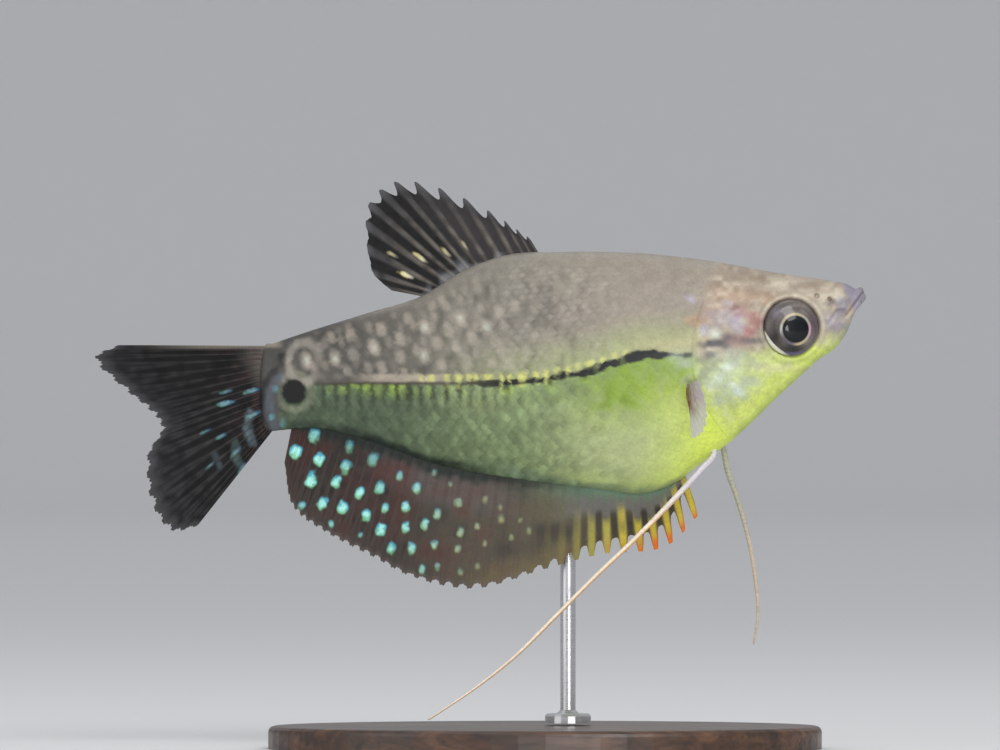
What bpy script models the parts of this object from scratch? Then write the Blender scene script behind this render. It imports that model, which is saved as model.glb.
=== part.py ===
"""Pearl gourami, life size, as a still model held over a plain display stand.

The fish faces +X with its back up. Z is 0 at the underside of the stand, and the origin is the middle
of that underside. Curves are listed in millimetres and scaled to metres where they are used.
"""

import math

import bmesh
import bpy
import numpy as np
from mathutils import Matrix, Vector

MM = 0.001
GAP = 0.3 * MM  # left between pieces that touch

# Outline of the fish from the side, in millimetres: (x, z) from the tail stem to the snout.
BACK_LINE = [
    (-35.4, 52.7), (-30.6, 54.3), (-22.9, 56.7), (-16.0, 58.9), (-10.5, 62.2), (-5.0, 64.2),
    (2.0, 64.6), (12.8, 64.4), (21.7, 63.4), (30.7, 61.8), (37.3, 60.8), (39.4, 60.35), (40.8, 59.5),
]
BELLY_LINE = [
    (-35.4, 41.3), (-30.0, 41.7), (-23.4, 40.2), (-14.1, 37.0), (-3.6, 35.1), (6.0, 33.9),
    (14.0, 33.4), (17.2, 34.7), (20.2, 37.0), (24.7, 40.4), (30.7, 46.1), (35.6, 50.6),
    (38.4, 52.9), (39.3, 54.3), (40.1, 56.3), (40.8, 57.9),
]
# Height of the widest point of each cross-section, which follows the dark stripe on the flank.
FLANK_LINE = [
    (-35.4, 46.8), (-14.0, 47.4), (0.0, 48.6), (10.0, 50.2), (20.0, 51.4), (30.0, 53.8),
    (37.0, 56.6), (40.8, 58.9),
]
HALF_WIDTH = [
    (-35.4, 1.0), (-30.0, 1.7), (-20.0, 2.8), (-10.0, 4.1), (0.0, 5.1), (10.0, 5.8), (18.0, 6.0),
    (24.0, 5.8), (30.7, 4.9), (35.0, 3.9), (38.0, 3.05), (39.5, 2.4), (40.8, 1.55),
]
# Power of the sine that shapes a section: 1 is an ellipse, and more draws it in to a keel.
KEEL_BELOW = [
    (-35.4, 1.0), (-25.0, 1.35), (5.0, 1.45), (16.0, 1.35), (26.0, 1.15), (34.0, 1.0), (40.8, 0.95),
]
KEEL_ABOVE = [(-35.4, 1.0), (-5.0, 1.12), (15.0, 1.05), (26.0, 0.9), (36.0, 0.8), (40.8, 0.9)]
TAIL_END_X = -35.4
SNOUT_X = 40.8
SNOUT_CAP = 0.55  # length of the rounded end past the last section
TRUNK_STATIONS = 25
HEAD_STATIONS = 19
HEAD_CROWDING = 1.35  # above 1, sections crowd towards the snout
RING_POINTS = 32
SNOUT_TURNS = (25, 50, 72)  # degrees round the snout's rounded end

# The tail end swings gently away from the +X heading, towards +Y.
BEND_START_X = -8.0
BEND_AT_TAIL_TIP = 3.6
BEND_POWER = 1.8
TAIL_TIP_X = -58.6

# Rear edge of the gill cover, from the nape to the throat, which also parts the head from the trunk.
GILL_LINE = [
    (23.6, 67.0), (22.0, 62.6), (20.6, 58.4), (19.3, 54.2), (19.0, 50.4), (20.0, 46.2), (22.2, 42.4),
    (25.6, 38.4),
]
GILL_LINE_POINTS = 21
GILL_X = GILL_LINE[3][0]
GILL_PUFF = 0.45  # how far the gill cover stands out over the trunk
GILL_PUFF_FROM_X = 33.0
GILL_GAP = 0.34  # along x, which leaves the usual gap across the slanting edge
TAIL_CUT_X = -17.0
# The cutting blocks reach past the fish on every side.
CUT_REACH = 30.0
CUT_BOTTOM, CUT_TOP = 20.0, 80.0
CUT_AHEAD = 90.0

EYE_X, EYE_Z = 32.0, 54.9
EYE_RADIUS = 3.7
EYE_DEPTH = 1.55
EYE_SUNK = 0.5
NOSTRILS = [(36.9, 58.5, 0.34), (35.3, 58.9, 0.42)]  # x, z and radius

# Rear edge of the cheek bone, a shallow groove in front of the gill cover.
CHEEK_GROOVE = [(27.6, 58.4), (25.6, 55.4), (24.9, 51.8), (26.0, 48.4), (28.6, 46.0)]
GROOVE_RADIUS = 0.32
GROOVE_POINTS = 13

# The mouth opens upwards along a line from its corners to its tip, in x and z.
MOUTH_CORNER = (39.0, 56.3)
MOUTH_TIP = (41.3, 59.4)
MOUTH_HALF_WIDTH = 2.1
MOUTH_SLIT = 0.3
LIP_RADIUS = 0.54
LIP_CORNER_SHARE = 0.62  # a lip's radius at the mouth's corners, as a share of the radius at its middle
LIP_TURN = 96  # degrees from the tip back to past each corner
LIP_POINTS = 15
LIP_SPREAD = 0.34  # from the mouth's line to the middle of a lip
UPPER_LIP_BACK, LOWER_LIP_BACK = 0.15, 0.6  # from the mouth's tip to the middle of a lip

FIN_MEMBRANE = 0.25  # half thickness, clear of the rays
FIN_TIP = 0.17
MEMBRANE_THINNING = 0.1  # share of the thickness lost from root to tip
RIDGE_THINNING = 0.65
NOTCH_FADE = 2.5  # the notches reach their last depth at 1 / this share of the fin's length
# Each fin on the middle line is a row of guide rays: root x, root z, tip x and tip z. None is a root
# that meets the outline, or the end of the tail stem.
DORSAL_GUIDES = [
    (-0.9, None, -2.0, 66.4), (-4.2, None, -7.2, 69.9), (-7.6, None, -13.6, 72.9),
    (-9.9, None, -19.4, 73.8), (-11.8, None, -22.9, 70.9), (-13.6, None, -23.2, 66.2),
    (-14.9, None, -22.3, 61.8), (-16.1, None, -20.0, 59.6),
]
ANAL_GUIDES = [
    (18.3, None, 20.0, 30.4), (14.2, None, 15.4, 26.2), (7.0, None, 7.2, 25.3), (0.0, None, -0.8, 23.2),
    (-7.0, None, -9.0, 20.9), (-13.5, None, -16.6, 22.2), (-19.0, None, -22.9, 25.3),
    (-24.5, None, -28.6, 28.3), (-29.5, None, -32.8, 31.6), (-33.0, None, -33.9, 37.2),
]
CAUDAL_GUIDES = [
    (None, 52.4, -55.6, 52.5), (None, 51.3, -58.6, 50.7), (None, 49.9, -54.6, 46.7),
    (None, 48.3, -51.4, 44.0), (None, 46.6, -49.9, 41.6), (None, 44.9, -51.7, 38.0),
    (None, 43.4, -51.3, 32.4), (None, 42.3, -48.8, 28.5), (None, 41.4, -45.3, 28.9),
]
# Each pectoral fin is spread out sideways: root x and z on the flank, then how far its tip is from there
# along x, away from the flank and along z.
PECTORAL_GUIDES = [
    (18.5, 47.4, 1.2, 9.0, 0.6), (18.4, 46.9, 2.4, 10.8, -1.4), (18.35, 46.4, 2.9, 10.6, -3.2),
    (18.4, 45.9, 2.4, 8.9, -4.5), (18.5, 45.5, 1.3, 6.6, -5.0), (18.7, 45.1, 0.2, 4.2, -4.6),
]
DORSAL_RAYS = 14
ANAL_RAYS = 30
CAUDAL_RAYS = 16
PECTORAL_RAYS = 9

# Each pelvic fin is one long feeler. Its root has an x, a distance from the middle and a radius, and
# the route from there to its tip is x, distance from the middle, z and radius.
NEAR_ROOT = (22.2, 1.9, 0.58)
NEAR_ROUTE = [
    (21.2, 2.6, 36.2, 0.5), (17.6, 3.1, 33.0, 0.45), (11.9, 3.8, 27.6, 0.38), (6.4, 4.4, 22.4, 0.34),
    (1.3, 5.0, 17.3, 0.31), (-4.1, 5.7, 12.0, 0.29), (-9.6, 6.4, 7.7, 0.27), (-15.0, 7.0, 4.1, 0.25),
]
FAR_ROOT = (22.9, 1.7, 0.56)
FAR_ROUTE = [
    (23.8, 2.5, 36.2, 0.48), (24.9, 3.2, 33.0, 0.42), (26.4, 4.4, 27.9, 0.36), (27.5, 5.4, 21.8, 0.33),
    (27.8, 6.1, 17.2, 0.3), (27.3, 6.7, 13.6, 0.26),
]
FEELER_POINTS = 28
FEELER_STRAIGHT = 0.7  # how far a feeler runs square to the skin before it turns
FEELER_CROWDING = 1.6  # above 1, the tube's points crowd towards the root

BASE_HALF_LENGTH = 36.0
BASE_HALF_DEPTH = 23.0
BASE_THICKNESS = 3.0
BASE_EDGE = 0.8
ROD_X, ROD_Y = 3.0, 2.7
ROD_RADIUS = 1.0
ROD_EDGE = 0.25
ROD_TOP = 42.0
FOOT_RADIUS = 3.0
FOOT_HEIGHT = 1.2
FOOT_EDGE = 0.3
FOOT_FILLET = 0.5

# Colour, roughness and metallic value of each material.
SKIN = (0.42, 0.40, 0.30), 0.38, 0.0
FIN_DARK = (0.16, 0.15, 0.15), 0.45, 0.0
FIN_ANAL = (0.24, 0.20, 0.16), 0.45, 0.0
FIN_CLEAR = (0.62, 0.62, 0.52), 0.4, 0.0
FEELER = (0.75, 0.60, 0.40), 0.4, 0.0
EYE = (0.05, 0.05, 0.055), 0.1, 0.0
WOOD = (0.09, 0.055, 0.035), 0.5, 0.0
STEEL = (0.62, 0.62, 0.63), 0.3, 1.0


def smooth_curve(points):
    """A smooth function through (position, value) pairs, each slope set by the pair's two neighbours."""
    at, values = np.array(points, float).T
    steps = np.diff(at)
    secants = np.diff(values) / steps
    inner = (secants[:-1] * steps[1:] + secants[1:] * steps[:-1]) / (steps[:-1] + steps[1:])
    slopes = np.concatenate([secants[:1], inner, secants[-1:]])

    def value(x):
        x = min(max(x, at[0]), at[-1])
        i = min(int(np.searchsorted(at, x, side="right")) - 1, len(at) - 2)
        t = (x - at[i]) / steps[i]
        start = (1 + 2 * t) * (1 - t) ** 2 * values[i] + t * (1 - t) ** 2 * steps[i] * slopes[i]
        end = t * t * (3 - 2 * t) * values[i + 1] + t * t * (t - 1) * steps[i] * slopes[i + 1]
        return float(start + end)

    return value


def smooth_path(points, shares=None):
    """A smooth function of a share from 0 to 1 that runs through the points, evenly spaced if not told."""
    shares = np.linspace(0, 1, len(points)) if shares is None else shares
    curves = [smooth_curve(list(zip(shares, column))) for column in np.array(points, float).T]
    return lambda share: np.array([curve(share) for curve in curves])


back = smooth_curve(BACK_LINE)
belly = smooth_curve(BELLY_LINE)
flank = smooth_curve(FLANK_LINE)
half_width = smooth_curve(HALF_WIDTH)
keel_below = smooth_curve(KEEL_BELOW)
keel_above = smooth_curve(KEEL_ABOVE)


def bend(x):
    """Sideways place of the fish's middle at x."""
    behind = max(0.0, BEND_START_X - x) / (BEND_START_X - TAIL_TIP_X)
    return BEND_AT_TAIL_TIP * behind**BEND_POWER


def puff(x, height):
    """How far the gill cover swells out at a height that runs from -1 at the belly to 1 at the back."""
    along = min(max((GILL_PUFF_FROM_X - x) / (GILL_PUFF_FROM_X - GILL_X), 0.0), 1.0)
    return GILL_PUFF * along * along * (3 - 2 * along) * max(0.0, 1 - height * height) ** 1.5


def skin_point(x, angle, puffed=False):
    """A point of the skin at x. The angle is 0 on the back and half a turn on the belly."""
    up, side = math.cos(angle), math.sin(angle)
    middle = flank(x)
    reach = back(x) - middle if up > 0 else middle - belly(x)
    power = keel_above(x) if up > 0 else keel_below(x)
    out = half_width(x) * abs(side) ** power + (puff(x, up) if puffed else 0.0)
    return Vector((x, bend(x) + math.copysign(out, side) * (abs(side) > 1e-9), middle + reach * up))


def flank_out(x, z):
    """How far the skin stands out sideways at x and z."""
    middle = flank(x)
    up = (z - middle) / ((back(x) - middle) if z > middle else (middle - belly(x)))
    power = keel_above(x) if z > middle else keel_below(x)
    swell = puff(x, up) if x > GILL_X else 0.0
    return half_width(x) * max(0.0, 1 - up * up) ** (power / 2) + swell


def flank_normal(x, z, side):
    """Outward direction of the skin at x and z, on the side given by -1 or 1."""
    step = 0.4
    slope_x = (flank_out(x + step, z) - flank_out(x - step, z)) / (2 * step)
    slope_z = (flank_out(x, z + step) - flank_out(x, z - step)) / (2 * step)
    return Vector((-slope_x, side, -slope_z)).normalized()


def material(name, look):
    colour, roughness, metallic = look
    made = bpy.data.materials.new(name)
    made.use_nodes = True
    shader = made.node_tree.nodes["Principled BSDF"]
    shader.inputs["Base Color"].default_value = (*colour, 1.0)
    shader.inputs["Roughness"].default_value = roughness
    shader.inputs["Metallic"].default_value = metallic
    return made


def add_object(name, bm, collection):
    """Makes an object from a bmesh whose points are in millimetres."""
    bmesh.ops.recalc_face_normals(bm, faces=bm.faces)
    bmesh.ops.scale(bm, vec=(MM, MM, MM), verts=bm.verts)
    mesh = bpy.data.meshes.new(name)
    bm.to_mesh(mesh)
    bm.free()
    made = bpy.data.objects.new(name, mesh)
    collection.objects.link(made)
    return made


def apply_modifiers(target):
    """Puts the mesh that the modifiers make in place of the object's own."""
    graph = bpy.context.evaluated_depsgraph_get()
    graph.update()
    mesh = bpy.data.meshes.new_from_object(target.evaluated_get(graph))
    target.modifiers.clear()
    target.data = mesh


def combine(target, others, operation):
    """Joins the others to the target, or cuts them from it, with one Boolean, and removes them."""
    group = bpy.data.collections.new(f"{target.name}_{operation.lower()}")
    bpy.context.scene.collection.children.link(group)
    for other in others:
        for holder in list(other.users_collection):
            holder.objects.unlink(other)
        group.objects.link(other)
    modifier = target.modifiers.new(operation.lower(), "BOOLEAN")
    modifier.operation = operation
    modifier.solver = "EXACT"
    modifier.operand_type = "COLLECTION"
    modifier.collection = group
    apply_modifiers(target)
    for other in others:
        bpy.data.objects.remove(other)
    bpy.data.collections.remove(group)


def keep_largest(target):
    """Drops every closed surface but the largest, such as a scrap that a cut left loose."""
    bm = bmesh.new()
    bm.from_mesh(target.data)
    bmesh.ops.triangulate(bm, faces=bm.faces)
    bmesh.ops.remove_doubles(bm, verts=bm.verts, dist=0.002 * MM)
    bmesh.ops.dissolve_degenerate(bm, edges=bm.edges, dist=0.002 * MM)
    unseen = set(bm.verts)
    islands = []
    while unseen:
        stack = [unseen.pop()]
        island = set(stack)
        while stack:
            for edge in stack.pop().link_edges:
                for vert in edge.verts:
                    if vert in unseen:
                        unseen.remove(vert)
                        island.add(vert)
                        stack.append(vert)
        islands.append(island)
    largest = max(islands, key=len)
    bmesh.ops.delete(bm, geom=[v for v in bm.verts if v not in largest], context="VERTS")
    bm.to_mesh(target.data)
    bm.free()


def finish(target, look, sharp_degrees=50):
    target.data.materials.clear()
    target.data.materials.append(look)
    target.data.shade_smooth()
    target.data.set_sharp_from_angle(angle=math.radians(sharp_degrees))


def loft(rings):
    """A closed bmesh through the rings of points, capped at both ends."""
    bm = bmesh.new()
    rows = [[bm.verts.new(point) for point in ring] for ring in rings]
    count = len(rows[0])
    for first, second in zip(rows, rows[1:]):
        for i in range(count):
            j = (i + 1) % count
            bm.faces.new((first[i], first[j], second[j], second[i]))
    bm.faces.new(rows[0])
    bm.faces.new(rows[-1])
    return bm


def body_form(name, puffed, collection):
    """The whole fish without fins, from the end of the tail stem to the snout."""
    stations = list(np.linspace(TAIL_END_X, GILL_X, TRUNK_STATIONS, endpoint=False))
    head = np.linspace(0, 1, HEAD_STATIONS)
    stations += [GILL_X + (SNOUT_X - GILL_X) * (1 - (1 - t) ** HEAD_CROWDING) for t in head]
    angles = [2 * math.pi * i / RING_POINTS for i in range(RING_POINTS)]
    rings = [[skin_point(x, a, puffed) for a in angles] for x in stations]
    last = rings[-1]
    centre = sum(last, Vector()) / len(last)
    for turn in SNOUT_TURNS:
        shrink, ahead = math.cos(math.radians(turn)), math.sin(math.radians(turn))
        rings.append([centre + (p - centre) * shrink + Vector((SNOUT_CAP * ahead, 0, 0)) for p in last])
    return add_object(name, loft(rings), collection)


def prism(name, outline, collection):
    """A closed block: an outline in x and z, drawn out across the whole width."""
    near = [Vector((x, -CUT_REACH, z)) for x, z in outline]
    far = [Vector((x, CUT_REACH, z)) for x, z in outline]
    return add_object(name, loft([near, far]), collection)


def gill_outline(shift):
    """Points down the rear edge of the gill cover, moved along x."""
    path = smooth_path(GILL_LINE)
    return [(x + shift, z) for x, z in (path(t) for t in np.linspace(0, 1, GILL_LINE_POINTS))]


def ball(name, centre, radii, normal, collection, segments=24):
    """An ellipsoid whose third radius lies along the normal."""
    bm = bmesh.new()
    bmesh.ops.create_uvsphere(bm, u_segments=segments, v_segments=segments // 2, radius=1.0)
    bmesh.ops.scale(bm, vec=radii, verts=bm.verts)
    turn = normal.to_track_quat("Z", "Y").to_matrix().to_4x4()
    bmesh.ops.transform(bm, matrix=Matrix.Translation(centre) @ turn, verts=bm.verts)
    return add_object(name, bm, collection)


def eye_ball(name, side, grow, collection):
    normal = flank_normal(EYE_X, EYE_Z, side)
    on_skin = Vector((EYE_X, side * flank_out(EYE_X, EYE_Z), EYE_Z))
    centre = on_skin - normal * EYE_SUNK
    radii = (EYE_RADIUS + grow, EYE_RADIUS + grow, EYE_DEPTH + grow)
    return ball(name, centre, radii, normal, collection)


def tube(name, points, radii, collection, sides=8):
    """A closed tapering tube from a curve with a round bevel."""
    data = bpy.data.curves.new(name, "CURVE")
    data.dimensions = "3D"
    data.bevel_mode = "ROUND"
    data.bevel_depth = MM
    data.bevel_resolution = sides // 2 - 2
    data.use_fill_caps = True
    spline = data.splines.new("POLY")
    spline.points.add(len(points) - 1)
    for node, point, radius in zip(spline.points, points, radii):
        node.co = (*(Vector(point) * MM), 1.0)
        node.radius = radius
    guide = bpy.data.objects.new(name + "_guide", data)
    collection.objects.link(guide)
    graph = bpy.context.evaluated_depsgraph_get()
    mesh = bpy.data.meshes.new_from_object(guide.evaluated_get(graph))
    bpy.data.objects.remove(guide)
    bm = bmesh.new()
    bm.from_mesh(mesh)
    bmesh.ops.remove_doubles(bm, verts=bm.verts, dist=0.01 * MM)
    bmesh.ops.recalc_face_normals(bm, faces=bm.faces)
    bm.to_mesh(mesh)
    bm.free()
    made = bpy.data.objects.new(name, mesh)
    collection.objects.link(made)
    return made


def mouth_frame():
    """The mouth's corner, its direction towards the tip, its length, and the direction of the upper lip."""
    corner = Vector((MOUTH_CORNER[0], 0, MOUTH_CORNER[1]))
    tip = Vector((MOUTH_TIP[0], 0, MOUTH_TIP[1]))
    along = (tip - corner).normalized()
    return corner, along, (tip - corner).length, Vector((-along.z, 0, along.x))


def lip(name, side, set_back, collection):
    """One lip, a tapering bead round the snout from one corner of the mouth to the other."""
    corner, along, length, up = mouth_frame()
    turns = [math.radians(t) for t in np.linspace(-LIP_TURN, LIP_TURN, LIP_POINTS)]
    reach = length - set_back
    across = Vector((0, MOUTH_HALF_WIDTH, 0))
    points = [
        corner + along * reach * math.cos(t) + across * math.sin(t) + up * side * LIP_SPREAD for t in turns
    ]
    radii = [LIP_RADIUS * (LIP_CORNER_SHARE + (1 - LIP_CORNER_SHARE) * math.cos(t)) for t in turns]
    return tube(name, points, radii, collection)


def mouth_slit(collection):
    """The closed mouth's line, a thin block between the lips that runs out past the mouth's tip."""
    corner, along, length, up = mouth_frame()
    past_tip = 2.0
    bm = bmesh.new()
    bmesh.ops.create_cube(bm, size=1.0)
    bmesh.ops.scale(bm, vec=(length + past_tip, 2 * CUT_REACH, MOUTH_SLIT), verts=bm.verts)
    turn = Matrix((along, (0, 1, 0), up)).transposed().to_4x4()
    middle = corner + along * (length + past_tip) / 2
    bmesh.ops.transform(bm, matrix=Matrix.Translation(middle) @ turn, verts=bm.verts)
    return add_object("mouth_slit", bm, collection)


def nostrils(collection):
    pits = []
    for number, (x, z, radius) in enumerate(NOSTRILS):
        for side in (-1, 1):
            normal = flank_normal(x, z, side)
            centre = Vector((x, side * flank_out(x, z), z))
            radii = (radius, radius, radius)
            pits.append(ball(f"pit_{number}_{side}", centre, radii, normal, collection, segments=10))
    return pits


def cheek_grooves(collection):
    """Thin tubes half sunk in the cheeks, one on each side."""
    path = smooth_path(CHEEK_GROOVE)
    shares = np.linspace(0, 1, GROOVE_POINTS)
    grooves = []
    for side in (-1, 1):
        points = [(x, side * flank_out(x, z), z) for x, z in (path(t) for t in shares)]
        radii = [GROOVE_RADIUS * (0.35 + 0.65 * math.sin(math.pi * t)) for t in shares]
        grooves.append(tube(f"groove_{side}", points, radii, collection))
    return grooves


def rod_cutter(collection):
    """The socket that the rod's top stands in."""
    bm = bmesh.new()
    radius = ROD_RADIUS + GAP / MM
    height = ROD_TOP + GAP / MM - BASE_THICKNESS
    bmesh.ops.create_cone(bm, cap_ends=True, segments=20, radius1=radius, radius2=radius, depth=height)
    middle = Vector((ROD_X, ROD_Y, BASE_THICKNESS + height / 2))
    bmesh.ops.translate(bm, vec=middle, verts=bm.verts)
    return add_object("rod_socket", bm, collection)


def make_body(parts, skin):
    """Head, trunk and tail stem, parted by thin cuts, with the head's features."""
    head = body_form("head", True, parts)
    trunk = body_form("trunk", False, parts)
    tail = body_form("tail_stem", False, parts)
    ahead = [(CUT_AHEAD, CUT_BOTTOM), (CUT_AHEAD, CUT_TOP)]
    head_block = prism("head_block", gill_outline(0.0) + ahead, parts)
    combine(head, [head_block], "INTERSECT")
    keep_largest(head)
    upper_lip = lip("lip_upper", 1, UPPER_LIP_BACK, parts)
    lower_lip = lip("lip_lower", -1, LOWER_LIP_BACK, parts)
    combine(head, [upper_lip, lower_lip], "UNION")
    sockets = [eye_ball(f"socket_{side}", side, GAP / MM, parts) for side in (-1, 1)]
    combine(head, sockets + nostrils(parts) + cheek_grooves(parts) + [mouth_slit(parts)], "DIFFERENCE")
    keep_largest(head)
    throat = (GILL_LINE[-1][0], CUT_BOTTOM)
    trunk_outline = [throat] + gill_outline(-GILL_GAP)[::-1]
    cut = TAIL_CUT_X + GAP / MM / 2
    trunk_block = prism("trunk_block", trunk_outline + [(cut, CUT_TOP), (cut, CUT_BOTTOM)], parts)
    combine(trunk, [trunk_block], "INTERSECT")
    combine(trunk, [rod_cutter(parts)], "DIFFERENCE")
    keep_largest(trunk)
    cut = TAIL_CUT_X - GAP / MM / 2
    corners = [(cut, CUT_BOTTOM), (cut, CUT_TOP), (-CUT_AHEAD, CUT_TOP), (-CUT_AHEAD, CUT_BOTTOM)]
    tail_block = prism("tail_block", corners, parts)
    combine(tail, [tail_block], "INTERSECT")
    keep_largest(tail)
    for piece in (head, trunk, tail):
        finish(piece, skin)


def from_outline(guides, line, away):
    """Guide rays of a fin on the back or belly, as pairs of points, the roots a gap off the outline."""
    return [((x, 0, line(x) + away * GAP / MM), (tip_x, 0, tip_z)) for x, _, tip_x, tip_z in guides]


def from_tail_end(guides):
    """Guide rays of the tail fin, as pairs of points, the roots a gap behind the tail stem."""
    return [((TAIL_END_X - GAP / MM, 0, z), (tip_x, 0, tip_z)) for _, z, tip_x, tip_z in guides]


def from_flank(guides, side):
    """Guide rays of a pectoral fin, as pairs of points, the roots a gap off the flank."""
    pairs = []
    for x, z, ahead, away, up in guides:
        out = flank_out(x, z) + GAP / MM
        pairs.append(((x, side * out, z), (x + ahead, side * (out + away), z + up)))
    return pairs


def along_bend(turns, height):
    """Lays a fin of the middle line along the body's bend, its free edge waving from side to side."""

    def lay(point, along, share):
        wave = height * share * math.sin(turns * 2 * math.pi * along)
        return point + Vector((0, bend(point.x) + wave, 0))

    return lay


def cupped(depth):
    """Lays a fin as a shallow cup that opens forwards."""
    return lambda point, along, share: point + Vector((-depth * math.sin(math.pi * along) * share, 0, 0))


def fin(name, guides, rays, rows, lay, normal, look, collection, ridge=0.2, notches=(0.1, 0.1), columns=4):
    """A rayed fin. Its rays are ridges on both faces of one membrane, and their tips stand past its edge.

    The guides are pairs of a root and a tip. The notches between ray tips are shares of the ray's length,
    for the first ray and the last.
    """
    roots = smooth_path([root for root, _ in guides])
    tips = smooth_path([tip for _, tip in guides])
    steps = columns * (rays - 1)
    sheets = ([], [])
    for i in range(steps + 1):
        along = i / steps
        from_ray = abs((i / columns + 0.5) % 1 - 0.5) * columns
        on_ray = max(0.0, 1 - from_ray)
        root, tip = Vector(roots(along)), Vector(tips(along))
        notch = notches[1] + (notches[0] - notches[1]) * max(0.0, 1 - NOTCH_FADE * along)
        reach = 1 - notch * (1 - on_ray)
        for side, sheet in zip((-1, 1), sheets):
            column = []
            for j in range(rows + 1):
                share = j / rows
                half = FIN_MEMBRANE * (1 - MEMBRANE_THINNING * share)
                half += ridge * on_ray * (1 - RIDGE_THINNING * share)
                half = FIN_TIP if j == rows else half
                point = lay(root.lerp(tip, share * reach), along, share)
                column.append(point + side * half * normal)
            sheet.append(column)
    bm = bmesh.new()
    near, far = ([[bm.verts.new(p) for p in column] for column in sheet] for sheet in sheets)
    for i in range(steps):
        for j in range(rows):
            for sheet in (near, far):
                a, b = sheet[i][j], sheet[i + 1][j]
                c, d = sheet[i + 1][j + 1], sheet[i][j + 1]
                bm.faces.new((a, b, c))
                bm.faces.new((a, c, d))
    rim = [(i, 0) for i in range(steps)] + [(steps, j) for j in range(rows)]
    rim += [(i, rows) for i in range(steps, 0, -1)] + [(0, j) for j in range(rows, 0, -1)]
    for (i, j), (k, m) in zip(rim, rim[1:] + rim[:1]):
        bm.faces.new((near[i][j], near[k][m], far[k][m]))
        bm.faces.new((near[i][j], far[k][m], far[i][j]))
    made = add_object(name, bm, collection)
    finish(made, look)
    return made


def feeler(name, base, route, side, look, collection):
    """A long pelvic feeler that springs from the belly skin and tapers to its tip."""
    x, out, radius = base
    angle = math.pi - math.asin(min(1.0, out / half_width(x)) ** (1 / keel_below(x)))
    on_skin = skin_point(x, angle)
    step = 0.05
    ahead = skin_point(x + step, angle) - on_skin
    round_it = skin_point(x, angle - step) - on_skin
    normal = round_it.cross(ahead).normalized()
    root = on_skin + normal * GAP / MM
    stops = [(*root, radius), (*(root + normal * FEELER_STRAIGHT), radius)] + route
    places = np.array(stops)[:, :3]
    lengths = np.linalg.norm(np.diff(places, axis=0), axis=1)
    shares = np.concatenate([[0.0], np.cumsum(lengths)]) / lengths.sum()
    path = smooth_path(stops, shares)
    line = [path(t**FEELER_CROWDING) for t in np.linspace(0, 1, FEELER_POINTS)]
    made = tube(name, [(p[0], side * p[1], p[2]) for p in line], [p[3] for p in line], collection)
    finish(made, look)
    return made


def make_fins(parts, dark, brown, clear, feelers):
    across = Vector((0, 1, 0))
    guides = from_outline(DORSAL_GUIDES, back, 1)
    lay = along_bend(0.8, 0.5)
    fin("dorsal_fin", guides, DORSAL_RAYS, 6, lay, across, dark, parts, notches=(0.25, 0.08))
    guides = from_outline(ANAL_GUIDES, belly, -1)
    lay = along_bend(2.3, 0.45)
    fin("anal_fin", guides, ANAL_RAYS, 5, lay, across, brown, parts, notches=(0.45, 0.07), columns=3)
    guides = from_tail_end(CAUDAL_GUIDES)
    lay = along_bend(1.1, 0.5)
    fin("caudal_fin", guides, CAUDAL_RAYS, 8, lay, across, dark, parts, notches=(0.06, 0.05))
    for name, side in (("right", -1), ("left", 1)):
        guides = from_flank(PECTORAL_GUIDES, side)
        facing = Vector((1, side * 0.15, 0)).normalized()
        title = f"pectoral_fin_{name}"
        fin(title, guides, PECTORAL_RAYS, 5, cupped(0.5), facing, clear, parts, 0.12, (0.06, 0.06), 3)
    feeler("pelvic_fin_right", NEAR_ROOT, NEAR_ROUTE, -1, feelers, parts)
    feeler("pelvic_fin_left", FAR_ROOT, FAR_ROUTE, 1, feelers, parts)


def make_eyes(parts, look):
    for name, side in (("right", -1), ("left", 1)):
        eye = eye_ball(f"eye_{name}", side, 0.0, parts)
        finish(eye, look)


def make_stand(parts, wood, steel):
    """An oval base, and a rod on a small foot that runs up beside the anal fin into the flank."""
    bm = bmesh.new()
    bmesh.ops.create_cone(bm, cap_ends=True, segments=64, radius1=1.0, radius2=1.0, depth=BASE_THICKNESS)
    bmesh.ops.scale(bm, vec=(BASE_HALF_LENGTH, BASE_HALF_DEPTH, 1.0), verts=bm.verts)
    bmesh.ops.translate(bm, vec=(0, 0, BASE_THICKNESS / 2), verts=bm.verts)
    rim = [e for e in bm.edges if all(v.co.z > BASE_THICKNESS / 2 for v in e.verts)]
    bmesh.ops.bevel(bm, geom=rim, offset=BASE_EDGE, segments=3, profile=0.5, affect="EDGES")
    base = add_object("stand_base", bm, parts)
    finish(base, wood, 35)
    floor = BASE_THICKNESS + GAP / MM
    foot = floor + FOOT_HEIGHT
    profile = [
        (0.0, ROD_TOP),
        (ROD_RADIUS - ROD_EDGE, ROD_TOP),
        (ROD_RADIUS, ROD_TOP - ROD_EDGE),
        (ROD_RADIUS, foot + FOOT_FILLET),
        (ROD_RADIUS + FOOT_FILLET, foot),
        (FOOT_RADIUS - FOOT_EDGE, foot),
        (FOOT_RADIUS, foot - FOOT_EDGE),
        (FOOT_RADIUS, floor),
        (0.0, floor),
    ]
    bm = bmesh.new()
    verts = [bm.verts.new((r, 0, z)) for r, z in profile]
    for first, second in zip(verts, verts[1:]):
        bm.edges.new((first, second))
    bmesh.ops.scale(bm, vec=(MM, MM, MM), verts=bm.verts)
    mesh = bpy.data.meshes.new("stand_rod")
    bm.to_mesh(mesh)
    bm.free()
    rod = bpy.data.objects.new("stand_rod", mesh)
    parts.objects.link(rod)
    rod.location = (ROD_X * MM, ROD_Y * MM, 0)
    screw = rod.modifiers.new("turned", "SCREW")
    screw.steps = screw.render_steps = 20
    screw.use_merge_vertices = True
    screw.merge_threshold = 0.01 * MM
    finish(rod, steel, 35)


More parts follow.
